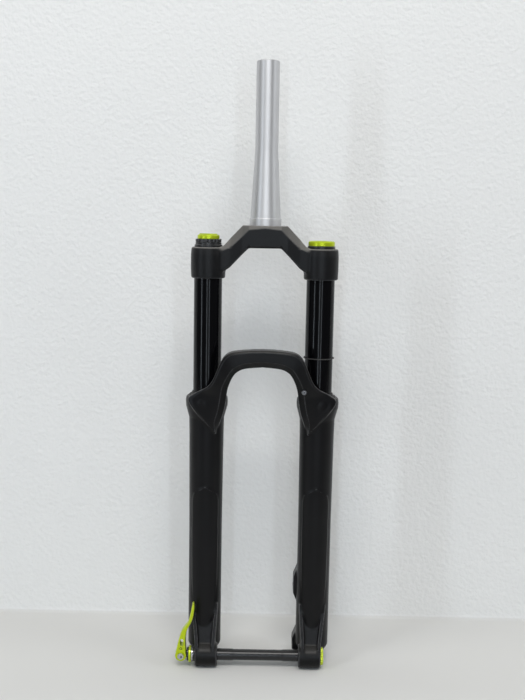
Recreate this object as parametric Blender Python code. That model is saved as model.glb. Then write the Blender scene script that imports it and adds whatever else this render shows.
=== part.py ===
# Suspension fork with a single crown, two sliding legs and a through-axle.
# Metres, +Z up along the steerer, front towards -Y; the origin is on the steerer axis at the crown race seat.
import math

import bmesh
import bpy
from mathutils import Matrix, Vector

MM = 0.001

# Driving dimensions of the fork
LEG_SPACING = 140 * MM
CROWN_OFFSET = 17 * MM
AXLE_LEAD = 27 * MM
AXLE_TO_CROWN = 546 * MM
TRAVEL = 140 * MM
STOP_GAP = 7 * MM
CLEAR = 0.3 * MM

# Steerer
STEERER_LENGTH = 200 * MM
STEERER_TOP_D = 28.6 * MM
STEERER_BASE_D = 38.1 * MM
STEERER_BORE_D = 23 * MM
RACE_SEAT_D = 39.8 * MM
RACE_SEAT_HEIGHT = 9.5 * MM
STEERER_TAPER_TOP = 92 * MM
STEERER_BUTT = 2 * MM

# Crown
CROWN_TOP_WIDTH = 56 * MM
CROWN_DEPTH = 54 * MM
CROWN_HEIGHT = 27.5 * MM
CROWN_BOSS_WALL = 3.8 * MM
CROWN_BOSS_DROP = 27 * MM
CROWN_BOSS_HEIGHT = 38.3 * MM

# Stanchions and what they carry
STANCHION_D = 35 * MM
STANCHION_WALL = 2.2 * MM
ROD_D = 10 * MM
ROD_BORE_D = 3.6 * MM
NEEDLE_D = 2.8 * MM
CARTRIDGE_WALL = 1.2 * MM
CARTRIDGE_GAP = 1.8 * MM
CAP_FLANGE = 5.4 * MM
CAP_THREAD = 18 * MM
CAP_STEM = 50 * MM
PISTON_HEIGHT = 12 * MM
SEAL_HEAD_HEIGHT = 14 * MM
CARTRIDGE_LIFT = 42 * MM
PISTON_LIFT = 14 * MM
AIR_BASE_HEIGHT = 3 * MM
AIR_HEAD_LIFT = 3 * MM
TOP_OUT_HEIGHT = 17 * MM
VALVE_R = 4 * MM
VALVE_RISE = 3.6 * MM

# Lower casting
LEG_WALL = 2.1 * MM
BUSHING_WALL = 0.8 * MM
BUSHING_LENGTH = 18 * MM
COLLAR_WALL = 5.3 * MM
SEAL_WIDTH = 3.2 * MM
SEAL_DEPTH = 10.5 * MM
SEAL_LIP = 5.5 * MM
SEAL_STOP = 0.55 * MM
FOAM_DEPTH = 7 * MM
FLOOR = 13 * MM
FOOT_RISE = 1.7 * MM
ARCH_RISE = 63 * MM
ARCH_HEIGHT = 22 * MM
ARCH_DEPTH = 17 * MM

# Dropouts, axle and brake posts
AXLE_D = 14.7 * MM
HUB_WIDTH = 110 * MM
DROPOUT_WIDTH = 25 * MM
DROPOUT_WALL = 6.8 * MM
RIB_WIDTH = 4.5 * MM
RIB_RISE = 58 * MM
WEB_RISE = 46 * MM
WEB_RECESS = 6 * MM
BOSS_PROUD = 0.4 * MM
HUB_LIP = 3 * MM
HUB_SEAT_R = 10.6 * MM
NUT_WALL = 2.4 * MM
NUT_DEPTH = 14 * MM
NUT_FLANGE = 3.8 * MM
POST_SPACING = 74 * MM
POST_D = 16 * MM
POST_REACH = 32 * MM
FAIRING_RISE = 38 * MM
FAIRING_DROP = 19 * MM
FOOT_FAIRING_RISE = 27 * MM
SCREW_SHANK_R = 1.5 * MM
SCREW_DEPTH = 7 * MM
SCREW_HEAD_R = 3.4 * MM
LEVER_LENGTH = 69.2 * MM
LEVER_EYE_R = 7.3 * MM
LEVER_HALF = 7 * MM
NECK_R = 4.5 * MM
TONGUE_HALF = 3 * MM
PIN_R = 2.5 * MM

# Washers between the left dropout and the lever: name, width, radius and finish
STACK = (
    ("axle_spacer", 2.2 * MM, 9.3 * MM, "satin_black"),
    ("serrated_washer", 2.2 * MM, 9.0 * MM, "steel"),
    ("cup_washer", 2.8 * MM, 10.4 * MM, "lime"),
    ("cam_follower", 2.2 * MM, 8.6 * MM, "satin_black"),
)

# Adjusters
DIAL_D = 32 * MM
DIAL_HEIGHT = 3.8 * MM
KNOB_D = 27.4 * MM
KNOB_HEIGHT = 6.4 * MM
AIR_CAP_D = 32.8 * MM
AIR_CAP_HEIGHT = 6 * MM
RING_D = 1.8 * MM

# Facets round a turned piece: in view, inside the legs, and on thin rods
ROUND_STEPS = 32
INNER_STEPS = 20
SMALL_STEPS = 12
DIAL_TEETH = 18
REBOUND_TEETH = 12

# Places worked out from the driving dimensions
LEG_X = LEG_SPACING / 2
LEG_Y = -CROWN_OFFSET
AXLE_Y = LEG_Y - AXLE_LEAD
AXLE_Z = -AXLE_TO_CROWN
STANCHION_R = STANCHION_D / 2
STANCHION_BORE_R = STANCHION_R - STANCHION_WALL
BOSS_R = STANCHION_R + CLEAR + CROWN_BOSS_WALL
BOSS_TOP = -CROWN_BOSS_DROP
BOSS_BOTTOM = BOSS_TOP - CROWN_BOSS_HEIGHT
COLLAR_TOP = BOSS_BOTTOM - TRAVEL - STOP_GAP - SEAL_STOP
LEG_FOOT = AXLE_Z + FOOT_RISE
LEG_FLOOR = LEG_FOOT + FLOOR
STANCHION_END = LEG_FLOOR + TRAVEL + STOP_GAP
LEG_BORE_R = STANCHION_R + BUSHING_WALL + 2 * CLEAR
LEG_R = LEG_BORE_R + LEG_WALL
SEAL_SEAT_R = STANCHION_R + SEAL_WIDTH + 2 * CLEAR
COLLAR_R = SEAL_SEAT_R + COLLAR_WALL
ROD_R = ROD_D / 2
FOOT_THREAD_R = 3.7 * MM
FOOT_THREAD_DEPTH = 14 * MM
AXLE_R = AXLE_D / 2
AXLE_BORE_R = AXLE_R + CLEAR
DROPOUT_R = AXLE_BORE_R + DROPOUT_WALL
DROPOUT_IN = HUB_WIDTH / 2
DROPOUT_OUT = DROPOUT_IN + DROPOUT_WIDTH
CAP_STEM_END = BOSS_TOP - CAP_STEM
CARTRIDGE_R = STANCHION_BORE_R - CARTRIDGE_GAP
CARTRIDGE_END = STANCHION_END + CARTRIDGE_LIFT
DAMPER_PISTON_SEAT = CARTRIDGE_END + PISTON_LIFT
DIAL_LOW = BOSS_TOP + CAP_FLANGE + 2 * CLEAR
KNOB_LOW = DIAL_LOW + DIAL_HEIGHT + CLEAR
AIR_HEAD_LOW = STANCHION_END + AIR_HEAD_LIFT
AIR_HEAD_TOP = AIR_HEAD_LOW + SEAL_HEAD_HEIGHT
AIR_PISTON_LOW = AIR_HEAD_TOP + TOP_OUT_HEIGHT + 2 * CLEAR
AIR_CAP_LOW = BOSS_TOP + AIR_BASE_HEIGHT + 2 * CLEAR
PIVOT_X = -(DROPOUT_OUT + sum(width + CLEAR for _, width, _, _ in STACK) + CLEAR + LEVER_EYE_R)

# Finishes: colour, roughness and metallic value
FINISHES = {
    "satin_black": ((0.018, 0.018, 0.020), 0.42, 0.0),
    "gloss_black": ((0.006, 0.006, 0.009), 0.12, 0.6),
    "rubber": ((0.012, 0.012, 0.012), 0.75, 0.0),
    "silver": ((0.62, 0.62, 0.63), 0.32, 1.0),
    "steel": ((0.45, 0.45, 0.46), 0.30, 1.0),
    "lime": ((0.55, 0.72, 0.02), 0.28, 0.7),
    "bronze": ((0.45, 0.28, 0.12), 0.40, 0.8),
    "foam": ((0.10, 0.10, 0.11), 0.95, 0.0),
    "elastomer": ((0.55, 0.50, 0.20), 0.60, 0.0),
}


def clear_scene():
    for obj in list(bpy.data.objects):
        bpy.data.objects.remove(obj, do_unlink=True)


def finish_material(name, finish):
    colour, roughness, metallic = FINISHES[finish]
    material = bpy.data.materials.new(name + "_finish")
    material.use_nodes = True
    shader = material.node_tree.nodes["Principled BSDF"]
    shader.inputs["Base Color"].default_value = (*colour, 1.0)
    shader.inputs["Roughness"].default_value = roughness
    shader.inputs["Metallic"].default_value = metallic
    return material


def place(name, bm, finish=None, at=(0, 0, 0), parent=None):
    """Turn a bmesh into a named object at a world place; without a finish it is a guide."""
    bmesh.ops.recalc_face_normals(bm, faces=bm.faces)
    mesh = bpy.data.meshes.new(name)
    bm.to_mesh(mesh)
    bm.free()
    mesh.shade_smooth()
    mesh.set_sharp_from_angle(angle=math.radians(32))
    obj = bpy.data.objects.new(name, mesh)
    bpy.context.scene.collection.objects.link(obj)
    obj.location = Vector(at)
    if parent is not None:
        obj.parent = parent
        obj.location = Vector(at) - parent.location
    if finish is None:
        obj.hide_render = True
        obj.display_type = "WIRE"
    else:
        mesh.materials.append(finish_material(name, finish))
    return obj


def carrier(name, at):
    """An empty on a joint's axis, which carries the pieces of one moving body."""
    empty = bpy.data.objects.new(name, None)
    bpy.context.scene.collection.objects.link(empty)
    empty.location = Vector(at)
    return empty


def boolean(obj, operation, *operands):
    """Join or cut an object with a group of guides in one step."""
    group = bpy.data.collections.new(obj.name + "_" + operation.lower())
    bpy.context.scene.collection.children.link(group)
    for operand in operands:
        group.objects.link(operand)
    modifier = obj.modifiers.new(operation.lower(), "BOOLEAN")
    modifier.operation = operation
    modifier.solver = "EXACT"
    modifier.operand_type = "COLLECTION"
    modifier.collection = group


def merge_flats(obj):
    """Join the coplanar facets that cutting and joining leave behind."""
    modifier = obj.modifiers.new("merge_flats", "DECIMATE")
    modifier.decimate_type = "DISSOLVE"
    modifier.angle_limit = math.radians(0.4)


def spun(outline, steps=ROUND_STEPS, along="Z"):
    """Solid of revolution from (radius, height) points; an outline that leaves the axis closes on itself."""
    bm = bmesh.new()
    verts = [bm.verts.new((radius, 0, height)) for radius, height in outline]
    pairs = list(zip(verts, verts[1:]))
    if min(radius for radius, _ in outline) > 0:
        pairs.append((verts[-1], verts[0]))
    edges = [bm.edges.new(pair) for pair in pairs]
    bmesh.ops.spin(bm, geom=verts + edges, cent=(0, 0, 0), axis=(0, 0, 1), angle=math.tau,
                   steps=steps, use_merge=True)
    bmesh.ops.remove_doubles(bm, verts=bm.verts, dist=1e-7)
    if along == "X":
        bmesh.ops.rotate(bm, verts=bm.verts, matrix=Matrix.Rotation(math.pi / 2, 3, "Y"))
    if along == "Y":
        bmesh.ops.rotate(bm, verts=bm.verts, matrix=Matrix.Rotation(-math.pi / 2, 3, "X"))
    return bm


def ring(inner, outer, low, high):
    return [(inner, low), (outer, low), (outer, high), (inner, high)]


def rod(radius, low, high):
    return [(0, low), (radius, low), (radius, high), (0, high)]


def chamfered_ring(inner, outer, low, high, edge):
    return [(inner, low), (outer - edge, low), (outer, low + edge), (outer, high - edge),
            (outer - edge, high), (inner, high)]


def both_sides(half):
    """Sections for the whole width, from those of the +X half that start in the middle plane."""
    return [[(-x, y, z) for x, y, z in section] for section in reversed(half[1:])] + half


def loft(sections):
    """Skin a row of sections that have equal numbers of points, and cap the ends."""
    bm = bmesh.new()
    rows = [[bm.verts.new(point) for point in section] for section in sections]
    count = len(rows[0])
    for row, following in zip(rows, rows[1:]):
        for i in range(count):
            j = (i + 1) % count
            bm.faces.new((row[i], row[j], following[j], following[i]))
    bm.faces.new(reversed(rows[0]))
    bm.faces.new(rows[-1])
    bmesh.ops.triangulate(bm, faces=bm.faces)
    return bm


def prism(outline, low, high, along="X"):
    """Extrude a flat outline between two heights along X, Y or Z."""

    def point(a, b, height):
        return {"X": (height, a, b), "Y": (a, height, b), "Z": (a, b, height)}[along]

    return loft([[point(a, b, low) for a, b in outline], [point(a, b, high) for a, b in outline]])


def ribbed_ring(inner, outer, rib, teeth, low, high):
    """A knurled ring: its rim steps in and out once for each tooth."""
    steps = teeth * 4
    rims = [outer - rib if i % 4 in (2, 3) else outer for i in range(steps)]
    angles = [math.tau * i / steps for i in range(steps)]
    bm = bmesh.new()

    def row(radii, height):
        return [bm.verts.new((r * math.cos(a), r * math.sin(a), height)) for r, a in zip(radii, angles)]

    rows = [row([inner] * steps, low), row(rims, low), row(rims, high), row([inner] * steps, high)]
    for a, b in zip(rows, rows[1:] + rows[:1]):
        for i in range(steps):
            j = (i + 1) % steps
            bm.faces.new((a[i], a[j], b[j], b[i]))
    return bm


# Steerer and crown
def build_steerer():
    base = STEERER_BASE_D / 2
    top = STEERER_TOP_D / 2
    bore = STEERER_BORE_D / 2
    seat = RACE_SEAT_D / 2
    edge = 0.8 * MM
    outline = [
        (bore + STEERER_BUTT, -CROWN_HEIGHT + edge),
        (seat, -CROWN_HEIGHT + edge),
        (seat, RACE_SEAT_HEIGHT - edge),
        (base, RACE_SEAT_HEIGHT),
        (top, STEERER_TAPER_TOP),
        (top, STEERER_LENGTH - edge),
        (top - edge, STEERER_LENGTH),
        (bore, STEERER_LENGTH),
        (bore, STEERER_TAPER_TOP),
        (bore + STEERER_BUTT, RACE_SEAT_HEIGHT),
    ]
    place("steerer_tube", spun(outline), "silver")


def crown_section(x, top, bottom, middle, half, bevel):
    front = middle - half
    back = middle + half
    soft = 2.5 * MM
    return [
        (x, back, top - soft), (x, back - soft, top), (x, front + bevel, top), (x, front, top - bevel),
        (x, front, bottom + soft), (x, front + soft, bottom), (x, back - soft, bottom),
        (x, back, bottom + soft),
    ]


def build_crown():
    half = CROWN_DEPTH / 2
    flat = CROWN_TOP_WIDTH / 2
    root = LEG_X - BOSS_R * 0.885
    arm = flat + (root - flat) * 0.65
    inside = LEG_X - BOSS_R * 0.35
    sections = [
        crown_section(0, 0, -CROWN_HEIGHT, -1 * MM, half, 3 * MM),
        crown_section(flat * 0.71, 0, -CROWN_HEIGHT, LEG_Y * 0.15, half * 0.93, 5 * MM),
        crown_section(flat, 0, -CROWN_HEIGHT - 8 * MM, LEG_Y * 0.30, half * 0.84, 13 * MM),
        crown_section(arm, BOSS_TOP * 0.58, BOSS_BOTTOM + 14 * MM, LEG_Y * 0.66, BOSS_R * 0.92, 11.5 * MM),
        crown_section(root, BOSS_TOP + 2 * MM, BOSS_BOTTOM + 8.5 * MM, LEG_Y * 0.82, BOSS_R * 0.84, 5 * MM),
        crown_section(inside, BOSS_TOP - 2 * MM, BOSS_BOTTOM + 3.5 * MM, LEG_Y, BOSS_R * 0.78, 3 * MM),
    ]
    crown = place("crown", loft(both_sides(sections)), "satin_black")
    bosses = []
    bores = []
    for side, x in (("left", -LEG_X), ("right", LEG_X)):
        outline = [
            (0, BOSS_BOTTOM),
            (BOSS_R - 1.6 * MM, BOSS_BOTTOM),
            (BOSS_R - 0.4 * MM, BOSS_BOTTOM + 1.5 * MM),
            (BOSS_R, BOSS_BOTTOM + CROWN_BOSS_HEIGHT * 0.30),
            (BOSS_R, BOSS_BOTTOM + CROWN_BOSS_HEIGHT * 0.75),
            (BOSS_R - 0.6 * MM, BOSS_TOP - 2.5 * MM),
            (BOSS_R - 2.6 * MM, BOSS_TOP),
            (0, BOSS_TOP),
        ]
        bosses.append(place("crown_boss_" + side, spun(outline), at=(x, LEG_Y, 0)))
        bore = rod(STANCHION_R + CLEAR, BOSS_BOTTOM - 5 * MM, BOSS_TOP + 12 * MM)
        bores.append(place("crown_bore_" + side, spun(bore), at=(x, LEG_Y, 0)))
    steerer_bore = rod(RACE_SEAT_D / 2 + CLEAR, -CROWN_HEIGHT - 5 * MM, 5 * MM)
    bores.append(place("crown_steerer_bore", spun(steerer_bore)))
    boolean(crown, "UNION", *bosses)
    boolean(crown, "DIFFERENCE", *bores)
    merge_flats(crown)


def build_stanchions():
    for side, x in (("left", -LEG_X), ("right", LEG_X)):
        edge = 0.6 * MM
        outline = [
            (STANCHION_BORE_R, STANCHION_END),
            (STANCHION_R - edge, STANCHION_END),
            (STANCHION_R, STANCHION_END + edge),
            (STANCHION_R, BOSS_TOP - CLEAR),
            (STANCHION_BORE_R, BOSS_TOP - CLEAR),
        ]
        place("stanchion_" + side, spun(outline), "gloss_black", at=(x, LEG_Y, 0))


# Damper side
def build_damper_fixed():
    at = (-LEG_X, LEG_Y, 0)
    bore = NEEDLE_D / 2 + CLEAR
    stem = 5 * MM
    thread = STANCHION_BORE_R - CLEAR
    low = BOSS_TOP + CLEAR
    cap = [
        (bore, CAP_STEM_END),
        (stem, CAP_STEM_END),
        (stem, BOSS_TOP - CAP_THREAD),
        (thread, BOSS_TOP - CAP_THREAD),
        (thread, low),
        (STANCHION_R - 0.3 * MM, low),
        (STANCHION_R - 0.3 * MM, low + CAP_FLANGE * 0.45),
        (STANCHION_R - 1.4 * MM, low + CAP_FLANGE * 0.55),
        (STANCHION_R - 1.4 * MM, low + CAP_FLANGE),
        (bore, low + CAP_FLANGE),
    ]
    place("damper_top_cap", spun(cap, INNER_STEPS), "satin_black", at)
    inner = CARTRIDGE_R - CARTRIDGE_WALL
    cartridge_top = BOSS_TOP - CAP_THREAD - CLEAR
    cartridge = [
        (inner, CARTRIDGE_END),
        (CARTRIDGE_R, CARTRIDGE_END),
        (CARTRIDGE_R, cartridge_top),
        (inner, cartridge_top),
    ]
    place("damper_cartridge", spun(cartridge, INNER_STEPS), "silver", at)
    piston = piston_outline(bore, inner - CLEAR, CAP_STEM_END - CLEAR)
    place("compression_piston", spun(piston, INNER_STEPS), "bronze", at)
    head_top = CARTRIDGE_END - CLEAR
    head = chamfered_ring(ROD_R + CLEAR, thread, head_top - SEAL_HEAD_HEIGHT, head_top, 1 * MM)
    place("damper_seal_head", spun(head, INNER_STEPS), "steel", at)


def piston_outline(hole, radius, top):
    """A piston with a groove for its glide ring round the middle."""
    low = top - PISTON_HEIGHT
    groove = 0.8 * MM
    return [
        (hole, low), (radius, low), (radius, low + PISTON_HEIGHT * 0.3),
        (radius - groove, low + PISTON_HEIGHT * 0.35),
        (radius - groove, low + PISTON_HEIGHT * 0.65), (radius, low + PISTON_HEIGHT * 0.7),
        (radius, top), (hole, top),
    ]


def rod_outline(top, stud, bore):
    """A shaft on the foot of its leg, with a thread bore below and a stud for its piston above."""
    foot = LEG_FLOOR + CLEAR
    stud_r = ROD_R - 2 * MM
    stud_top = top + stud
    return [
        (FOOT_THREAD_R, foot),
        (ROD_R, foot),
        (ROD_R, top),
        (stud_r, top),
        (stud_r, stud_top),
        (bore, stud_top),
        (bore, foot + FOOT_THREAD_DEPTH + 2 * MM),
        (FOOT_THREAD_R, foot + FOOT_THREAD_DEPTH),
    ]


def build_damper_rod(parent):
    at = (-LEG_X, LEG_Y, 0)
    outline = rod_outline(DAMPER_PISTON_SEAT, PISTON_HEIGHT + 4 * MM, ROD_BORE_D / 2)
    place("damper_rod", spun(outline, SMALL_STEPS), "steel", at, parent)
    radius = CARTRIDGE_R - CARTRIDGE_WALL - CLEAR
    top = DAMPER_PISTON_SEAT + PISTON_HEIGHT + CLEAR
    piston = piston_outline(ROD_R - 2 * MM + CLEAR, radius, top)
    place("rebound_piston", spun(piston, INNER_STEPS), "bronze", at, parent)


def build_adjusters():
    axis = (-LEG_X, LEG_Y, 0)
    stem_r = 7 * MM
    dial = place("high_speed_dial", ribbed_ring(stem_r + CLEAR, DIAL_D / 2, 1.2 * MM, DIAL_TEETH, DIAL_LOW,
                                                DIAL_LOW + DIAL_HEIGHT), "satin_black", axis)
    dial.data.set_sharp_from_angle(angle=math.radians(20))
    rim = KNOB_D / 2
    top = KNOB_LOW + KNOB_HEIGHT
    edge = 1.2 * MM
    knob_outline = [
        (0, DIAL_LOW), (stem_r, DIAL_LOW), (stem_r, KNOB_LOW), (rim - edge / 2, KNOB_LOW),
        (rim, KNOB_LOW + edge / 2),
        (rim, top - 2 * edge), (rim - edge, top - edge), (rim - 3 * edge, top - 1.5 * edge),
        (0, top - 1.5 * edge),
    ]
    knob = place("low_speed_knob", spun(knob_outline), "lime", axis)
    fin_half = 1.8 * MM
    reach = rim * 0.86
    fin_outline = [(-reach, -fin_half), (reach, -fin_half), (reach, fin_half), (-reach, fin_half)]
    fin = place("low_speed_knob_fin", prism(fin_outline, top - 3 * edge, top, "Z"), at=axis)
    boolean(knob, "UNION", fin)
    needle = rod(NEEDLE_D / 2, CAP_STEM_END - PISTON_HEIGHT, DIAL_LOW - CLEAR)
    place("low_speed_needle", spun(needle, SMALL_STEPS), "steel", axis)


# Air spring side
def build_air_fixed():
    at = (LEG_X, LEG_Y, 0)
    thread = STANCHION_BORE_R - CLEAR
    low = BOSS_TOP + CLEAR
    hole = VALVE_R - 1 * MM
    cap = [
        (hole, BOSS_TOP - CAP_THREAD), (thread, BOSS_TOP - CAP_THREAD), (thread, low),
        (STANCHION_R - 0.5 * MM, low),
        (STANCHION_R - 0.5 * MM, low + AIR_BASE_HEIGHT), (hole, low + AIR_BASE_HEIGHT),
    ]
    place("air_top_cap", spun(cap), "satin_black", at)
    valve_low = low + AIR_BASE_HEIGHT + CLEAR
    valve = [
        (1.2 * MM, BOSS_TOP - CAP_THREAD), (hole - CLEAR, BOSS_TOP - CAP_THREAD), (hole - CLEAR, valve_low),
        (VALVE_R, valve_low), (VALVE_R, valve_low + VALVE_RISE), (1.2 * MM, valve_low + VALVE_RISE),
    ]
    place("air_valve", spun(valve, SMALL_STEPS), "steel", at)
    head = chamfered_ring(ROD_R + CLEAR, thread, AIR_HEAD_LOW, AIR_HEAD_TOP, 1 * MM)
    place("air_seal_head", spun(head, INNER_STEPS), "satin_black", at)
    clip = ring(thread - 3 * MM, thread, AIR_HEAD_LOW - CLEAR - 1.2 * MM, AIR_HEAD_LOW - CLEAR)
    place("seal_head_circlip", spun(clip, INNER_STEPS), "steel", at)
    low = AIR_HEAD_TOP + CLEAR
    bumper = chamfered_ring(ROD_R + CLEAR, ROD_R + 4 * MM, low, low + TOP_OUT_HEIGHT, 1 * MM)
    place("top_out_bumper", spun(bumper, SMALL_STEPS), "elastomer", at)


def build_air_shaft(parent):
    at = (LEG_X, LEG_Y, 0)
    shaft = rod_outline(AIR_PISTON_LOW, PISTON_HEIGHT + 4 * MM, ROD_BORE_D / 2)
    place("air_shaft", spun(shaft, SMALL_STEPS), "steel", at, parent)
    top = AIR_PISTON_LOW + PISTON_HEIGHT + CLEAR
    outline = piston_outline(ROD_R - 2 * MM + CLEAR, STANCHION_BORE_R - CLEAR, top)
    place("air_piston", spun(outline, INNER_STEPS), "satin_black", at, parent)
    low = LEG_FLOOR + CLEAR
    bumper = chamfered_ring(ROD_R + CLEAR, ROD_R + 6 * MM, low, low + STOP_GAP * 0.7, 0.8 * MM)
    place("bottom_out_bumper", spun(bumper, SMALL_STEPS), "elastomer", at, parent)


def build_air_cap():
    rim = AIR_CAP_D / 2
    top = AIR_CAP_LOW + AIR_CAP_HEIGHT
    edge = 1.2 * MM
    hollow = VALVE_R + 1 * MM
    hollow_top = AIR_CAP_LOW + VALVE_RISE + 1 * MM
    outline = [
        (0, hollow_top), (hollow, hollow_top), (hollow, AIR_CAP_LOW), (rim, AIR_CAP_LOW), (rim, top - edge),
        (rim - edge, top), (rim * 0.62, top), (rim * 0.52, top - edge), (0, top - edge),
    ]
    place("air_cap", spun(outline), "lime", at=(LEG_X, LEG_Y, 0))


def build_travel_ring():
    low = COLLAR_TOP + 50 * MM
    inner = STANCHION_R + CLEAR
    middle = inner + RING_D / 2
    points = [math.tau * i / 6 for i in range(6)]
    section = [(middle + RING_D / 2 * math.cos(a), low + RING_D / 2 * math.sin(a)) for a in points]
    place("travel_ring", spun(section, ROUND_STEPS), "rubber", at=(LEG_X, LEG_Y, 0))


# Lower casting: two legs, an arch in front of the stanchions, dropouts and brake posts
def arch_section(outer, inner, front_outer, front_inner, back):
    """One section of the arch: a front face with a chamfer outside and a deep bevel inside."""
    outer_x, outer_z = outer
    inner_x, inner_z = inner

    def between(share):
        return outer_x + (inner_x - outer_x) * share, outer_z + (inner_z - outer_z) * share

    rim_x, rim_z = between(0.12)
    edge_x, edge_z = between(0.66)
    chamfer = ARCH_DEPTH * 0.12
    bevel = ARCH_DEPTH * 0.45
    inner_y = min(front_inner + bevel, back - 1 * MM)
    outer_y = min(front_outer + chamfer, back - 1 * MM)
    return [
        (outer_x, back, outer_z), (outer_x, outer_y, outer_z), (rim_x, front_outer, rim_z),
        (edge_x, front_inner, edge_z), (inner_x, inner_y, inner_z), (inner_x, back, inner_z),
    ]


def arch_sections():
    """Half of the arch, from the middle to the point of its gusset on the leg."""
    back = LEG_Y - BOSS_R - 2 * MM
    front = back - ARCH_DEPTH
    inside = LEG_Y - 12 * MM
    top = COLLAR_TOP + ARCH_RISE
    under = top - ARCH_HEIGHT

    def hung(from_leg, down):
        return LEG_X + from_leg * MM, top - down * MM

    def low(from_leg, down):
        return LEG_X + from_leg * MM, COLLAR_TOP - down * MM

    def shoulder(outer, inner, face):
        return arch_section(outer, inner, face, face, back)

    return [
        shoulder((0, top), (0, under), front),
        shoulder((20 * MM, top - 0.9 * MM), (22 * MM, under - 2.2 * MM), front),
        shoulder(hung(-31, 3.6), (LEG_X - 38 * MM, under - 7 * MM), front + 0.6 * MM),
        shoulder(hung(-22.5, 9.5), (LEG_X - 33.5 * MM, under - 12.5 * MM), front + 1.5 * MM),
        shoulder(hung(-17, 19), (LEG_X - 30.5 * MM, under - 18.5 * MM), front + 3 * MM),
        shoulder(low(-8, -23), low(-27.5, -14), front + 6 * MM),
        arch_section(low(0, -14), low(-26, -6), front + 10 * MM, front + 8 * MM, back),
        arch_section(low(12, -7), low(-25.2, 0), LEG_Y - 25 * MM, front + 9.5 * MM, LEG_Y - 20 * MM),
        arch_section(low(22, 1.5), low(-24.5, 5), LEG_Y - 19 * MM, front + 10.5 * MM, inside),
        arch_section(low(17, 13), low(-22, 18), LEG_Y - 21 * MM, front + 13 * MM, inside),
        arch_section(low(2, 31), low(-17.5, 32), LEG_Y - LEG_R - 2 * MM, LEG_Y - LEG_R - 2.5 * MM, inside),
        arch_section(low(-11, 46), low(-13.5, 46), LEG_Y - LEG_R + 2 * MM, LEG_Y - LEG_R + 2 * MM, inside),
    ]


def leg_outline():
    bulge = COLLAR_R
    return [
        (0, COLLAR_TOP), (bulge - 2.2 * MM, COLLAR_TOP), (bulge - 0.5 * MM, COLLAR_TOP - 2 * MM),
        (bulge, COLLAR_TOP - 7 * MM), (bulge - 0.4 * MM, COLLAR_TOP - 13 * MM),
        (bulge - 2 * MM, COLLAR_TOP - 19 * MM),
        (LEG_R + 1.2 * MM, COLLAR_TOP - 28 * MM), (LEG_R + 0.8 * MM, COLLAR_TOP - 45 * MM),
        (LEG_R, (COLLAR_TOP + LEG_FOOT) / 2), (LEG_R, LEG_FOOT + 5 * MM), (LEG_R - 2.5 * MM, LEG_FOOT),
        (0, LEG_FOOT),
    ]


def leg_bore_outline():
    """What is cut out of a leg: seal and foam seats at the top, the slider bore, and the foot bolt hole."""
    seat = COLLAR_TOP - SEAL_DEPTH - FOAM_DEPTH - 2 * CLEAR
    over = 6 * MM
    return [
        (0, COLLAR_TOP + over), (SEAL_SEAT_R, COLLAR_TOP + over), (SEAL_SEAT_R, seat), (LEG_BORE_R, seat),
        (LEG_BORE_R, LEG_FLOOR), (FOOT_THREAD_R, LEG_FLOOR), (FOOT_THREAD_R, LEG_FOOT - over),
        (0, LEG_FOOT - over),
    ]


def dropout_outline(grow, start):
    """Side view of a dropout: a blade that leaves the leg front and wraps round the axle boss."""
    radius = DROPOUT_R + grow
    points = [(LEG_Y - LEG_R * 0.75, AXLE_Z + start), (AXLE_Y - radius, AXLE_Z + radius * 0.25)]
    sweep = [math.radians(180 + 15 * i) for i in range(0, 11)]
    points += [(AXLE_Y + radius * math.cos(a), AXLE_Z + radius * math.sin(a)) for a in sweep]
    points += [(LEG_Y - LEG_R * 0.55, LEG_FOOT + 1.5 * MM), (LEG_Y - LEG_R * 0.55, AXLE_Z + start)]
    return points


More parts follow.
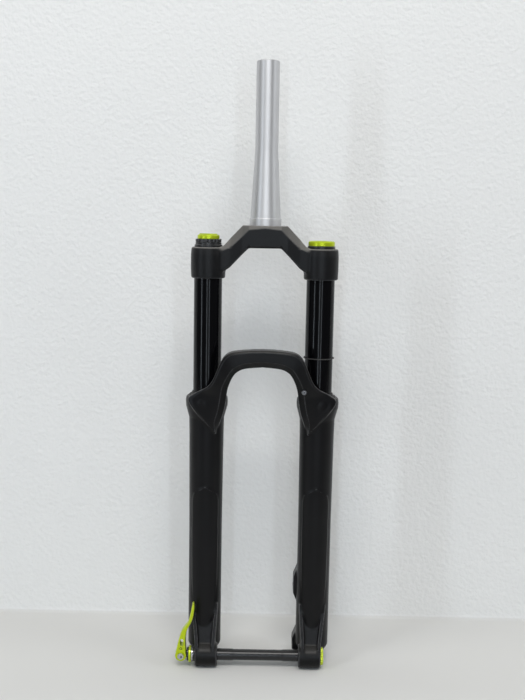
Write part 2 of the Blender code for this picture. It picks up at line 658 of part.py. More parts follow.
def build_lower_casting(parent):
    casting = place("lower_casting", loft(both_sides(arch_sections())), "satin_black", parent=parent)
    reliefs = []
    additions = []
    cuts = []
    over = 3 * MM
    for side, sign in (("left", -1), ("right", 1)):
        at = (sign * LEG_X, LEG_Y, 0)
        relief = rod(BOSS_R + 1.4 * MM, COLLAR_TOP - 1 * MM, COLLAR_TOP + ARCH_RISE + 20 * MM)
        reliefs.append(place("boss_relief_" + side, spun(relief), at=at))
        additions.append(place("leg_" + side, spun(leg_outline()), at=at))
        inner = sign * DROPOUT_IN
        outer = sign * DROPOUT_OUT
        rib = sign * RIB_WIDTH
        plates = (
            ("inner_rib_", inner, inner + rib, 0, RIB_RISE),
            ("outer_rib_", outer - rib, outer, 0, RIB_RISE),
            ("web_", inner + rib * 0.5, outer - rib * 0.5, -WEB_RECESS, WEB_RISE),
        )
        for name, low, high, grow, start in plates:
            plate = prism(dropout_outline(grow, start), min(low, high), max(low, high))
            additions.append(place(name + side, plate))
        axle = (0, AXLE_Y, AXLE_Z)
        lip = inner - sign * HUB_LIP
        boss = rod(DROPOUT_R + BOSS_PROUD, *sorted((lip, outer - rib * 0.15)))
        additions.append(place("axle_boss_" + side, spun(boss, ROUND_STEPS, "X"), at=axle))
        seat = rod(HUB_SEAT_R, *sorted((lip - sign * over, inner)))
        cuts.append(place("hub_seat_" + side, spun(seat, ROUND_STEPS, "X"), at=axle))
        cuts.append(place("leg_bore_" + side, spun(leg_bore_outline()), at=at))
    post_x = LEG_X - LEG_R + 3.7 * MM
    post_r = POST_D / 2
    upper_z = AXLE_Z + POST_SPACING
    face = LEG_Y + POST_REACH
    for level, z in (("lower", AXLE_Z), ("upper", upper_z)):
        post = rod(post_r, 3.7 * MM - POST_REACH, 0)
        additions.append(place("brake_post_" + level, spun(post, INNER_STEPS, "Y"), at=(post_x, face, z)))
    inboard = post_x - post_r
    upper_fairing = [
        (LEG_X - LEG_R * 0.5, upper_z + FAIRING_RISE),
        (LEG_X - LEG_R * 0.9, upper_z + FAIRING_RISE - 2 * MM),
        (inboard, upper_z + FAIRING_RISE * 0.54), (inboard, upper_z - FAIRING_DROP * 0.1),
        (LEG_X - LEG_R * 0.9, upper_z - FAIRING_DROP + 2 * MM),
        (LEG_X - LEG_R * 0.5, upper_z - FAIRING_DROP),
    ]
    lower_fairing = [
        (LEG_X - LEG_R * 0.4, AXLE_Z + FOOT_FAIRING_RISE),
        (LEG_X - LEG_R * 0.9, AXLE_Z + FOOT_FAIRING_RISE - 2 * MM),
        (inboard, AXLE_Z + FOOT_FAIRING_RISE * 0.37), (inboard, AXLE_Z - 5 * MM),
        (post_x, AXLE_Z - post_r * 0.9),
        (LEG_X - LEG_R * 0.4, AXLE_Z + 2 * MM),
    ]
    for name, outline in (("upper", upper_fairing), ("lower", lower_fairing)):
        fairing = prism(outline, LEG_Y + 2 * MM, LEG_Y + LEG_R, "Y")
        additions.append(place("post_fairing_" + name, fairing))
    nut_seat_r = AXLE_BORE_R + NUT_WALL + CLEAR
    nut_seat = DROPOUT_OUT - NUT_DEPTH
    axle_bore = [(0, -DROPOUT_OUT - over), (AXLE_BORE_R, -DROPOUT_OUT - over), (AXLE_BORE_R, nut_seat),
                 (nut_seat_r, nut_seat), (nut_seat_r, DROPOUT_OUT + over), (0, DROPOUT_OUT + over)]
    cuts.append(place("axle_bore", spun(axle_bore, INNER_STEPS, "X"), at=(0, AXLE_Y, AXLE_Z)))
    screw_hole = rod(SCREW_SHANK_R + CLEAR, -1 * MM, SCREW_DEPTH)
    cuts.append(place("guide_screw_hole", spun(screw_hole, SMALL_STEPS, "Y"), at=guide_screw_place()))
    boolean(casting, "DIFFERENCE", *reliefs)
    boolean(casting, "UNION", *additions)
    boolean(casting, "DIFFERENCE", *cuts)
    merge_flats(casting)


# Small parts of the sliding legs
def guide_screw_place():
    """The hose guide screw sits on the front of the right arch leg."""
    front = LEG_Y - BOSS_R - 2 * MM - ARCH_DEPTH + 7 * MM
    return LEG_X - 18.5 * MM, front, COLLAR_TOP + 11 * MM


def build_leg_fittings(parent):
    for side, sign in (("left", -1), ("right", 1)):
        at = (sign * LEG_X, LEG_Y, 0)
        slide_r = STANCHION_R + CLEAR
        seal_out = SEAL_SEAT_R - CLEAR
        lip = COLLAR_TOP + SEAL_LIP
        seal = [
            (slide_r, COLLAR_TOP - SEAL_DEPTH), (seal_out, COLLAR_TOP - SEAL_DEPTH),
            (seal_out, COLLAR_TOP + CLEAR),
            (seal_out + 1 * MM, COLLAR_TOP + CLEAR), (seal_out + 1 * MM, COLLAR_TOP + 1.8 * MM),
            (slide_r + 1.6 * MM, COLLAR_TOP + 2.6 * MM), (slide_r + 0.8 * MM, lip), (slide_r, lip),
        ]
        place("wiper_seal_" + side, spun(seal), "rubber", at, parent)
        foam_top = COLLAR_TOP - SEAL_DEPTH - CLEAR
        foam = ring(slide_r, seal_out, foam_top - FOAM_DEPTH, foam_top)
        place("foam_ring_" + side, spun(foam, INNER_STEPS), "foam", at, parent)
        bushing_r = slide_r + BUSHING_WALL
        upper = foam_top - FOAM_DEPTH - 3 * MM - BUSHING_LENGTH
        lower = STANCHION_END + 24 * MM
        for level, low in (("upper", upper), ("lower", lower)):
            outline = ring(slide_r, bushing_r, low, low + BUSHING_LENGTH)
            place("bushing_" + level + "_" + side, spun(outline, INNER_STEPS), "bronze", at, parent)
        washer_top = LEG_FOOT - CLEAR
        washer = ring(FOOT_THREAD_R, FOOT_THREAD_R + 3.6 * MM, washer_top - 1 * MM, washer_top)
        place("crush_washer_" + side, spun(washer, SMALL_STEPS), "silver", at, parent)
        head_top = washer_top - 1 * MM - CLEAR
        head_r = FOOT_THREAD_R + 3.8 * MM
        hole = NEEDLE_D / 2 + CLEAR
        bolt = [
            (hole, head_top - 4.5 * MM), (head_r, head_top - 4.5 * MM), (head_r, head_top),
            (FOOT_THREAD_R - CLEAR, head_top),
            (FOOT_THREAD_R - CLEAR, LEG_FLOOR + FOOT_THREAD_DEPTH - 1 * MM),
            (hole, LEG_FLOOR + FOOT_THREAD_DEPTH - 1 * MM),
        ]
        place("foot_bolt_" + side, spun(bolt, SMALL_STEPS), "steel", at, parent)
    nut_r = AXLE_BORE_R + NUT_WALL
    nut = [
        (AXLE_BORE_R, DROPOUT_OUT - NUT_DEPTH + CLEAR), (nut_r, DROPOUT_OUT - NUT_DEPTH + CLEAR),
        (nut_r, DROPOUT_OUT + CLEAR), (nut_r + 1 * MM, DROPOUT_OUT + CLEAR),
        (nut_r + 1 * MM, DROPOUT_OUT + NUT_FLANGE - 0.8 * MM), (nut_r, DROPOUT_OUT + NUT_FLANGE),
        (AXLE_BORE_R, DROPOUT_OUT + NUT_FLANGE),
    ]
    place("axle_nut", spun(nut, INNER_STEPS, "X"), "lime", (0, AXLE_Y, AXLE_Z), parent)
    screw = [(0, SCREW_DEPTH - 1 * MM), (SCREW_SHANK_R, SCREW_DEPTH - 1 * MM), (SCREW_SHANK_R, -CLEAR),
             (SCREW_HEAD_R, -CLEAR), (SCREW_HEAD_R * 0.7, -2 * MM), (0, -2 * MM)]
    place("hose_guide_screw", spun(screw, SMALL_STEPS, "Y"), "steel", guide_screw_place(), parent)


def build_rebound_knob():
    axis = (-LEG_X, LEG_Y, 0)
    head_low = LEG_FOOT - 2 * CLEAR - 1 * MM - 4.5 * MM
    top = head_low - CLEAR
    knob = ribbed_ring(NEEDLE_D / 2 + CLEAR, 7 * MM, 0.8 * MM, REBOUND_TEETH, top - 7 * MM, top)
    place("rebound_knob", knob, "lime", axis)
    needle = rod(NEEDLE_D / 2, top - 6.5 * MM, DAMPER_PISTON_SEAT + PISTON_HEIGHT)
    place("rebound_needle", spun(needle, SMALL_STEPS), "steel", axis)


# Through-axle with its quick-release lever
def build_axle(parent):
    at = (0, AXLE_Y, AXLE_Z)
    neck = -(DROPOUT_OUT - 1 * MM)
    end = DROPOUT_OUT + NUT_FLANGE - 1 * MM
    waist = DROPOUT_IN * 0.55
    step = 3 * MM
    waist_r = AXLE_R - 0.5 * MM
    bore = AXLE_R - 2.8 * MM
    outline = [
        (0, PIVOT_X), (NECK_R, PIVOT_X), (NECK_R, neck), (AXLE_R, neck), (AXLE_R, -waist - step),
        (waist_r, -waist),
        (waist_r, waist), (AXLE_R, waist + step), (AXLE_R, end - 1 * MM), (AXLE_R - 1 * MM, end),
        (bore, end),
        (bore, neck + 10 * MM), (0, neck + 10 * MM),
    ]
    axle = place("axle_shaft", spun(outline, INNER_STEPS, "X"), "satin_black", at, parent)
    tongue_r = LEVER_EYE_R - 0.8 * MM
    pivot = (PIVOT_X, AXLE_Y, AXLE_Z)
    cheek = place("axle_tongue", spun(rod(tongue_r, -TONGUE_HALF, TONGUE_HALF), INNER_STEPS, "Y"), at=pivot)
    trims = []
    reach = LEVER_EYE_R + CLEAR
    for name, low, high in (("front", -20 * MM, -TONGUE_HALF), ("back", TONGUE_HALF, 20 * MM)):
        outline = [(PIVOT_X - 20 * MM, -20 * MM), (PIVOT_X + reach, -20 * MM), (PIVOT_X + reach, 20 * MM),
                   (PIVOT_X - 20 * MM, 20 * MM)]
        trims.append(place("tongue_trim_" + name, prism(outline, low, high, "Y"), at=at))
    hole = place("tongue_hole", spun(rod(PIN_R + CLEAR, -20 * MM, 20 * MM), SMALL_STEPS, "Y"), at=pivot)
    boolean(axle, "UNION", cheek)
    boolean(axle, "DIFFERENCE", *trims, hole)
    face = -DROPOUT_OUT
    for name, width, radius, finish in STACK:
        high = face - CLEAR
        outline = chamfered_ring(NECK_R + CLEAR, radius, high - width, high, 0.4 * MM)
        place(name, spun(outline, INNER_STEPS, "X"), finish, at, parent)
        face = high - width
    head = -LEVER_HALF - CLEAR
    end = LEVER_HALF - 0.5 * MM
    pin = [
        (0, head - 2.4 * MM), (4 * MM, head - 2.4 * MM), (4 * MM, head), (PIN_R, head), (PIN_R, end), (0, end),
    ]
    place("lever_pivot_bolt", spun(pin, SMALL_STEPS, "Y"), "silver", pivot, parent)


def build_lever():
    axis = (PIVOT_X, AXLE_Y, AXLE_Z)
    spine = ((0.02, -6.7, 6.7, 6.8), (0.12, -5.6, 6.4, 6.8), (0.26, -3.4, 5.8, 6.6), (0.44, 0.3, 7.0, 6.0),
             (0.54, 4.6, 9.6, 5.6), (0.63, 9.0, 13.0, 5.4), (0.75, 11.2, 15.6, 5.4),
             (0.90, 13.2, 16.9, 5.0),
             (1.00, 14.4, 16.2, 3.6))
    sections = []
    for share, outer, inner, half in spine:
        z = LEVER_LENGTH * share
        soft = 1.2
        sections.append([
            (outer * MM, -(half - soft) * MM, z), ((outer + soft / 2) * MM, -half * MM, z),
            ((inner - soft / 2) * MM, -half * MM, z), (inner * MM, -(half - soft) * MM, z),
            (inner * MM, (half - soft) * MM, z), ((inner - soft / 2) * MM, half * MM, z),
            ((outer + soft / 2) * MM, half * MM, z), (outer * MM, (half - soft) * MM, z),
        ])
    lever = place("lever", loft(sections), "lime", axis)
    eye = place("lever_eye", spun(rod(LEVER_EYE_R, -LEVER_HALF, LEVER_HALF), INNER_STEPS, "Y"), at=axis)
    slot_top = LEVER_EYE_R + 2.5 * MM
    slot_outline = [(-20 * MM, -20 * MM), (20 * MM, -20 * MM), (20 * MM, slot_top), (-20 * MM, slot_top)]
    slot = place("lever_slot", prism(slot_outline, -TONGUE_HALF - CLEAR, TONGUE_HALF + CLEAR, "Y"), at=axis)
    hole = place("lever_hole", spun(rod(PIN_R + CLEAR, -20 * MM, 20 * MM), SMALL_STEPS, "Y"), at=axis)
    middle = 1.2 * MM
    wide = 2.2 * MM
    low = slot_top + 3 * MM
    high = low + 9 * MM
    window_outline = [
        (middle - wide, low + wide), (middle, low), (middle + wide, low + wide), (middle + wide, high - wide),
        (middle, high), (middle - wide, high - wide),
    ]
    window = place("lever_window", prism(window_outline, -20 * MM, 20 * MM, "Y"), at=axis)
    boolean(lever, "UNION", eye)
    boolean(lever, "DIFFERENCE", slot, hole, window)


def build_fork():
    clear_scene()
    build_steerer()
    build_crown()
    build_stanchions()
    build_damper_fixed()
    build_air_fixed()
    build_adjusters()
    build_air_cap()
    build_travel_ring()
    sliding_legs = carrier("sliding_legs", (0, LEG_Y, COLLAR_TOP))
    build_lower_casting(sliding_legs)
    build_leg_fittings(sliding_legs)
    build_damper_rod(sliding_legs)
    build_air_shaft(sliding_legs)
    build_rebound_knob()
    build_axle(carrier("through_axle", (0, AXLE_Y, AXLE_Z)))
    build_lever()


build_fork()
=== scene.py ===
import math

import bmesh
import bpy
from mathutils import Matrix, Vector


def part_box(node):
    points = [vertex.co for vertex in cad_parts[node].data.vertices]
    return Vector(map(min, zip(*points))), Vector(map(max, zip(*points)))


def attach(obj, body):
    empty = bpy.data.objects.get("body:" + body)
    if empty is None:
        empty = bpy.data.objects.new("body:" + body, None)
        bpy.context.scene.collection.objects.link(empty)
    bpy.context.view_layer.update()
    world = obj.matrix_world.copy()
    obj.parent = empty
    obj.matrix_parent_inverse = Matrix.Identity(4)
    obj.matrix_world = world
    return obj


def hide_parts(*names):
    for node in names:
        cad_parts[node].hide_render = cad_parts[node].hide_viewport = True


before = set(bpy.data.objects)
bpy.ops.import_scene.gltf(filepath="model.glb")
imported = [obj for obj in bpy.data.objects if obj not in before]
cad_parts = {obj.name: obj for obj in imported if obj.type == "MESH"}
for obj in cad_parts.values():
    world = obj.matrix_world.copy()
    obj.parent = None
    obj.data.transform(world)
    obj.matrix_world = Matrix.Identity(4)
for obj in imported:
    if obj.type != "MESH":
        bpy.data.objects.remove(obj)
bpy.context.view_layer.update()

MM = 0.001
STEPS = 128
CLEARANCE = 0.3 * MM

# Places taken from the CAD frame
_low, _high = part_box("stanchion_right")
LEG_X = (_low.x + _high.x) / 2
LEG_Y = (_low.y + _high.y) / 2
STANCHION_R = (_high.x - _low.x) / 2
STANCHION_END, STANCHION_TOP = _low.z, _high.z
BOSS_TOP = STANCHION_TOP + CLEARANCE
_low, _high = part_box("crown")
BOSS_BOTTOM = _low.z
BOSS_R = _high.x - LEG_X
_low, _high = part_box("wiper_seal_right")
SEAL_LOW, SEAL_LIP = _low.z, _high.z
COLLAR_TOP = SEAL_LOW + 10.5 * MM
_low, _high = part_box("lower_casting")
COLLAR_R = _high.x - LEG_X
LEG_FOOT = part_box("crush_washer_left")[1].z + CLEARANCE
_low, _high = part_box("axle_nut")
AXLE_Y = (_low.y + _high.y) / 2
AXLE_Z = (_low.z + _high.z) / 2
NUT_END = _high.x
STEERER_LOW, STEERER_TOP = (corner.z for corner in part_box("steerer_tube"))
PIVOT_X = (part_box("lever_pivot_bolt")[0].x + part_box("lever_pivot_bolt")[1].x) / 2

# Sizes that the boxes don't give
LEG_R = 21 * MM
LEG_BORE_R = 18.9 * MM
SEAL_SEAT_R = 21.3 * MM
STEERER_BASE_R = 19.05 * MM
SEAT_R = 19.9 * MM
TAPER_LOW = 9.5 * MM
TAPER_TOP = 92 * MM
STEERER_TOP_R = 14.3 * MM
STEERER_BORE_R = 11.5 * MM
CAP_DEPTH = 18 * MM
CAP_STEM_R = 15 * MM
NEEDLE_BORE_R = 1.7 * MM
ARCH_RISE = 63 * MM
ARCH_HEIGHT = 22 * MM
ARCH_DEPTH = 17 * MM
ARCH_BEVEL = 7.5 * MM
DROPOUT_IN = 55 * MM
HUB_LIP = 3 * MM
DROPOUT_OUT = 80 * MM
DROPOUT_R = 14.45 * MM
HUB_SEAT_R = 10.6 * MM
NUT_SEAT_R = 10.35 * MM
NUT_R = 10.05 * MM
NUT_TEETH = 24
FOOT_HOLE_R = 3.7 * MM
POST_R = 8 * MM
POST_SPACING = 74 * MM
AXLE_R = 7.35 * MM
TEETH_STEPS = 8
SIDES = (("left", -1), ("right", 1))


# Modelling
def rounded(outline, radius, steps=4):
    """An outline with every corner that is off the axis turned into a small arc."""
    soft = []
    for i, corner in enumerate(outline):
        here = Vector(corner)
        before = Vector(outline[i - 1]) - here
        after = Vector(outline[(i + 1) % len(outline)]) - here
        if here.x < 1e-6 or min(before.length, after.length) < 1e-6:
            soft.append(tuple(here))
            continue
        half = before.angle(after) / 2
        reach = min(radius / max(math.tan(half), 0.05), before.length * 0.45, after.length * 0.45)
        start = here + before.normalized() * reach
        end = here + after.normalized() * reach
        for s in range(steps + 1):
            t = s / steps
            soft.append(tuple(start * (1 - t) ** 2 + here * (2 * t * (1 - t)) + end * t ** 2))
    return soft


def lathe(outline, at=(0, 0, 0), along="Z", steps=STEPS):
    """Spin (radius, height) points about an axis; an outline that keeps off the axis closes on itself."""
    bm = bmesh.new()
    verts = [bm.verts.new((radius, 0, height)) for radius, height in outline]
    pairs = list(zip(verts, verts[1:]))
    if min(radius for radius, _ in outline) > 1e-6:
        pairs.append((verts[-1], verts[0]))
    edges = [bm.edges.new(pair) for pair in pairs]
    bmesh.ops.spin(bm, geom=verts + edges, cent=(0, 0, 0), axis=(0, 0, 1), angle=math.tau, steps=steps,
                   use_merge=True)
    bmesh.ops.remove_doubles(bm, verts=bm.verts, dist=1e-7)
    turns = {"X": (math.pi / 2, "Y"), "Y": (-math.pi / 2, "X")}
    if along in turns:
        angle, axis = turns[along]
        bmesh.ops.rotate(bm, verts=bm.verts, matrix=Matrix.Rotation(angle, 3, axis))
    bmesh.ops.translate(bm, verts=bm.verts, vec=Vector(at))
    bmesh.ops.recalc_face_normals(bm, faces=bm.faces)
    return bm


def rod(radius, low, high):
    return [(0, low), (radius, low), (radius, high), (0, high)]


def ring(inner, outer, low, high):
    return [(inner, low), (outer, low), (outer, high), (inner, high)]


def loft(sections):
    """Extrude the first section through all the others and close both ends."""
    bm = bmesh.new()
    verts = [bm.verts.new(point) for point in sections[0]]
    edges = [bm.edges.new(pair) for pair in zip(verts, verts[1:] + verts[:1])]
    bmesh.ops.contextual_create(bm, geom=edges)
    for section in sections[1:]:
        grown = bmesh.ops.extrude_edge_only(bm, edges=edges)["geom"]
        fresh = {item for item in grown if isinstance(item, bmesh.types.BMVert)}
        edges = [item for item in grown if isinstance(item, bmesh.types.BMEdge)]
        verts = [next(e.other_vert(v) for e in v.link_edges if e.other_vert(v) in fresh) for v in verts]
        for vert, point in zip(verts, section):
            vert.co = Vector(point)
    bmesh.ops.contextual_create(bm, geom=edges)
    bmesh.ops.recalc_face_normals(bm, faces=bm.faces)
    return bm


def eased(rows, steps):
    """Put smooth rows between the given rows of points."""
    rows = [[Vector(point) for point in row] for row in rows]
    last = len(rows) - 1
    full = []
    for i in range(last):
        four = (rows[max(i - 1, 0)], rows[i], rows[i + 1], rows[min(i + 2, last)])
        for s in range(steps):
            t = s / steps
            full.append([
                0.5 * (2 * q + (r - p) * t + (2 * p - 5 * q + 4 * r - u) * t ** 2
                       + (3 * q - p - 3 * r + u) * t ** 3)
                for p, q, r, u in zip(*four)
            ])
    full.append(rows[-1])
    return full


def both_sides(half):
    return [[(-x, y, z) for x, y, z in section] for section in reversed(half[1:])] + half


def prism(outline, low, high, along="X"):
    """Extrude a flat outline between two heights along an axis."""
    def point(a, b, c):
        return {"X": (c, a, b), "Y": (a, c, b), "Z": (a, b, c)}[along]
    return loft([[point(a, b, low) for a, b in outline], [point(a, b, high) for a, b in outline]])


def gather(*parts):
    """Put several shapes in one, without joining them."""
    whole = bmesh.new()
    for part in parts:
        mesh = bpy.data.meshes.new("stock")
        part.to_mesh(mesh)
        part.free()
        whole.from_mesh(mesh)
        bpy.data.meshes.remove(mesh)
    return whole


def stock(bm):
    mesh = bpy.data.meshes.new("stock")
    bm.to_mesh(mesh)
    bm.free()
    obj = bpy.data.objects.new("stock", mesh)
    bpy.context.scene.collection.objects.link(obj)
    return obj


def settled(obj, *helpers):
    """The shape that an object's modifiers make; the object and its helpers are gone afterwards."""
    graph = bpy.context.evaluated_depsgraph_get()
    mesh = bpy.data.meshes.new_from_object(obj.evaluated_get(graph))
    bm = bmesh.new()
    bm.from_mesh(mesh)
    bpy.data.meshes.remove(mesh)
    for used in (obj, *helpers):
        data = used.data
        bpy.data.objects.remove(used)
        bpy.data.meshes.remove(data)
    return bm


def cast(bm, grain, rounds):
    """Fuse overlapping shapes into one skin with the soft inside corners of a casting."""
    obj = stock(bm)
    remesh = obj.modifiers.new("fuse", "REMESH")
    remesh.mode = "VOXEL"
    remesh.voxel_size = grain
    smooth = obj.modifiers.new("fillet", "SMOOTH")
    smooth.factor = 0.5
    smooth.iterations = rounds
    return settled(obj)


def cut(bm, *cutters):
    obj = stock(bm)
    helper = stock(gather(*cutters))
    modifier = obj.modifiers.new("machine", "BOOLEAN")
    modifier.operation = "DIFFERENCE"
    modifier.solver = "EXACT"
    modifier.object = helper
    return settled(obj, helper)


def sliced(bm, height, above):
    """The part of a shape above or below a level, closed with a flat face."""
    everything = bm.verts[:] + bm.edges[:] + bm.faces[:]
    made = bmesh.ops.bisect_plane(bm, geom=everything, dist=1e-7, plane_co=(0, 0, height), plane_no=(0, 0, 1),
                                  clear_inner=above, clear_outer=not above)
    rim = [item for item in made["geom_cut"] if isinstance(item, bmesh.types.BMEdge)]
    bmesh.ops.edgeloop_fill(bm, edges=rim)
    return bm


def corners(left, right, low, high):
    return [(left, low), (right, low), (right, high), (left, high)]


def hex_socket(x, z, radius, low, high):
    """The cutter for a hex key socket in a bolt that faces the front."""
    points = [math.tau * (i + 0.5) / 6 for i in range(6)]
    return prism([(x + radius * math.cos(a), z + radius * math.sin(a)) for a in points], low, high, "Y")


def knurl(bm, teeth, depth, beyond):
    """Press rounded grip teeth into the rim of a shape turned about Z, beyond a radius."""
    for vert in bm.verts:
        radius = vert.co.xy.length
        if radius > beyond:
            wave = 0.5 - 0.5 * math.cos(teeth * math.atan2(vert.co.y, vert.co.x))
            vert.co.xy *= 1 - depth * wave ** 2 / radius


def knurled(inner, outer, depth, teeth, low, high, edge, at):
    """A ring with grip teeth round its rim and a soft upper and lower edge."""
    bm = lathe(rounded(ring(inner, outer, low, high), edge), steps=teeth * TEETH_STEPS)
    knurl(bm, teeth, depth, outer - edge * 1.5)
    bmesh.ops.translate(bm, verts=bm.verts, vec=Vector(at))
    return bm


def bend(vert):
    """How the skin bends at a vertex: above zero on an outward edge, below it in an inside corner."""
    bends = [vert.normal.dot((vert.co - e.other_vert(vert).co).normalized()) for e in vert.link_edges
             if e.calc_length() > 1e-7]
    return sum(bends) / len(bends) if bends else 0.0


def soften_corners(bm, reach, rounds):
    """Smooth only round the inside corners, so that they read as cast fillets."""
    bm.normal_update()
    chosen = {vert for vert in bm.verts if bend(vert) < -0.04}
    for _ in range(reach):
        chosen |= {e.other_vert(vert) for vert in chosen for e in vert.link_edges}
    chosen = [vert for vert in bm.verts if vert in chosen]
    for _ in range(rounds):
        bmesh.ops.smooth_vert(bm, verts=chosen, factor=0.5, use_axis_x=True, use_axis_y=True, use_axis_z=True)
    return bm


def mark_edges(bm, seam):
    """Store how strongly the skin bends outwards, for the painted edge highlights; the level of a seam has
    none.
    """
    bm.normal_update()
    layer = bm.verts.layers.float.new("edge")
    for vert in bm.verts:
        at_seam = seam is not None and abs(vert.co.z - seam) < 0.3 * MM
        vert[layer] = 0.0 if at_seam else max(0.0, bend(vert))


def piece(name, bm, body, finish, slot, *stands_for, crease=34, seam=None):
    """A finished piece of the looks: it rides a CAD body and stands for CAD nodes."""
    bmesh.ops.remove_doubles(bm, verts=bm.verts, dist=1e-6)
    bmesh.ops.recalc_face_normals(bm, faces=bm.faces)
    mark_edges(bm, seam)
    mesh = bpy.data.meshes.new(name)
    bm.to_mesh(mesh)
    bm.free()
    mesh.shade_smooth()
    mesh.set_sharp_from_angle(angle=math.radians(crease))
    mesh.materials.append(finish)
    obj = bpy.data.objects.new(name, mesh)
    bpy.context.scene.collection.objects.link(obj)
    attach(obj, body)
    if stands_for:
        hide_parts(*stands_for)
    return obj


# Finishes
def new_node(tree, kind, **values):
    made = tree.nodes.new(kind)
    for key, value in values.items():
        setattr(made, key, value)
    return made


def wire(tree, *links):
    for start, end in links:
        tree.links.new(start, end)


def new_group(name, inputs, outputs):
    """An empty shader node group with (name, type, default) inputs."""
    tree = bpy.data.node_groups.new(name, "ShaderNodeTree")
    for label, kind, value in inputs:
        socket = tree.interface.new_socket(label, in_out="INPUT", socket_type=kind)
        socket.default_value = value
    for label, kind in outputs:
        tree.interface.new_socket(label, in_out="OUTPUT", socket_type=kind)
    return tree, tree.nodes.new("NodeGroupInput"), tree.nodes.new("NodeGroupOutput")


def maths(tree, operation, first, second, clamp=False):
    made = new_node(tree, "ShaderNodeMath", operation=operation, use_clamp=clamp)
    for socket, value in zip(made.inputs, (first, second)):
        if isinstance(value, (int, float)):
            socket.default_value = value
        else:
            tree.links.new(value, socket)
    return made.outputs[0]


def noise(tree, vector, scale, detail=2.0):
    made = new_node(tree, "ShaderNodeTexNoise")
    made.inputs["Scale"].default_value = scale
    made.inputs["Detail"].default_value = detail
    tree.links.new(vector, made.inputs["Vector"])
    return made.outputs[0]


def blend(tree, amount, first, second):
    made = new_node(tree, "ShaderNodeMix", data_type="RGBA")
    for socket, value in ((made.inputs[0], amount), (made.inputs[6], first), (made.inputs[7], second)):
        if isinstance(value, tuple):
            socket.default_value = value
        else:
            tree.links.new(value, socket)
    return made.outputs[2]


def past(tree, value, level, gain):
    """How far a value is past a level, as a mask from 0 to 1."""
    return maths(tree, "MULTIPLY", maths(tree, "SUBTRACT", value, level), gain, True)


FLOAT, COLOUR = "NodeSocketFloat", "NodeSocketColor"
DUST_AND_SHEEN_COLOUR = (0.42, 0.40, 0.37, 1)


def handling_and_sheen_group():
    """Soft smears in the gloss, a little dust where the skin faces up, and a painted sheen that lightens the
    skin the more it faces up.
    """
    tree, inside, out = new_group(
        "handling_and_sheen",
        (("Colour", COLOUR, (0.5, 0.5, 0.5, 1)), ("Roughness", FLOAT, 0.4), ("Smear", FLOAT, 0.1),
         ("Dust", FLOAT, 0.1), ("Haze", FLOAT, 0.1)),
        (("Colour", COLOUR), ("Roughness", FLOAT)))
    spot = new_node(tree, "ShaderNodeTexCoord").outputs["Object"]
    facing = new_node(tree, "ShaderNodeSeparateXYZ")
    wire(tree, (new_node(tree, "ShaderNodeNewGeometry").outputs["Normal"], facing.inputs[0]))
    smear = maths(tree, "SUBTRACT", noise(tree, spot, 34.0, 4.0), 0.5)
    smear = maths(tree, "MULTIPLY", smear, inside.outputs["Smear"])
    specks = past(tree, noise(tree, spot, 1400.0, 1.0), 0.56, 9.0)
    patches = past(tree, noise(tree, spot, 60.0, 3.0), 0.38, 3.0)
    up = maths(tree, "MULTIPLY", maths(tree, "ADD", facing.outputs[2], 0.15), 1.0, True)
    # Painted sheen: a smooth lightening of up-facing skin towards the dust colour, standing in for the pale
    # wall seen in upper faces.
    painted_sheen = maths(tree, "MULTIPLY", maths(tree, "MULTIPLY", up, up), inside.outputs["Haze"])
    dust = maths(tree, "MULTIPLY", maths(tree, "MULTIPLY", specks, patches), inside.outputs["Dust"])
    # The colour mask holds the real dust and the painted sheen together.
    dust = maths(tree, "MULTIPLY", maths(tree, "ADD", dust, painted_sheen), up, True)
    colour = blend(tree, dust, inside.outputs["Colour"], DUST_AND_SHEEN_COLOUR)
    rough = maths(tree, "ADD", inside.outputs["Roughness"], smear)
    rough = maths(tree, "ADD", rough, maths(tree, "MULTIPLY", dust, 0.3))
    wire(tree, (colour, out.inputs["Colour"]), (rough, out.inputs["Roughness"]))
    return tree


def grain_group():
    """The fine peel of a sprayed or cast skin, as a height."""
    tree, inside, out = new_group(
        "fine_grain", (("Scale", FLOAT, 1500.0), ("Coarse", FLOAT, 0.4)), (("Height", FLOAT),))
    spot = new_node(tree, "ShaderNodeTexCoord").outputs["Object"]
    fine = new_node(tree, "ShaderNodeTexNoise")
    wire(tree, (spot, fine.inputs["Vector"]), (inside.outputs["Scale"], fine.inputs["Scale"]))
    coarse = new_node(tree, "ShaderNodeTexNoise")
    wire(tree, (spot, coarse.inputs["Vector"]),
         (maths(tree, "MULTIPLY", inside.outputs["Scale"], 0.18), coarse.inputs["Scale"]))
    peel = maths(tree, "MULTIPLY", coarse.outputs[0], inside.outputs["Coarse"])
    wire(tree, (maths(tree, "ADD", fine.outputs[0], peel), out.inputs["Height"]))
    return tree


def edge_highlight_group():
    """Painted highlight: lighter colour along outward edges, broken up by noise, standing in for edges that
    catch the light.
    """
    tree, inside, out = new_group(
        "painted_edge_highlight",
        (("Colour", COLOUR, (0.5, 0.5, 0.5, 1)), ("Rub", COLOUR, (0.8, 0.8, 0.8, 1)),
         ("Amount", FLOAT, 0.3)),
        (("Colour", COLOUR),))
    edge = new_node(tree, "ShaderNodeAttribute", attribute_name="edge").outputs["Fac"]
    spot = new_node(tree, "ShaderNodeTexCoord").outputs["Object"]
    sharp = past(tree, edge, 0.035, 11.0)
    broken = maths(tree, "ADD", maths(tree, "MULTIPLY", noise(tree, spot, 260.0, 3.0), 1.1), 0.1, True)
    amount = maths(tree, "MULTIPLY", maths(tree, "MULTIPLY", sharp, broken), inside.outputs["Amount"], True)
    wire(tree, (blend(tree, amount, inside.outputs["Colour"], inside.outputs["Rub"]), out.inputs["Colour"]))
    return tree


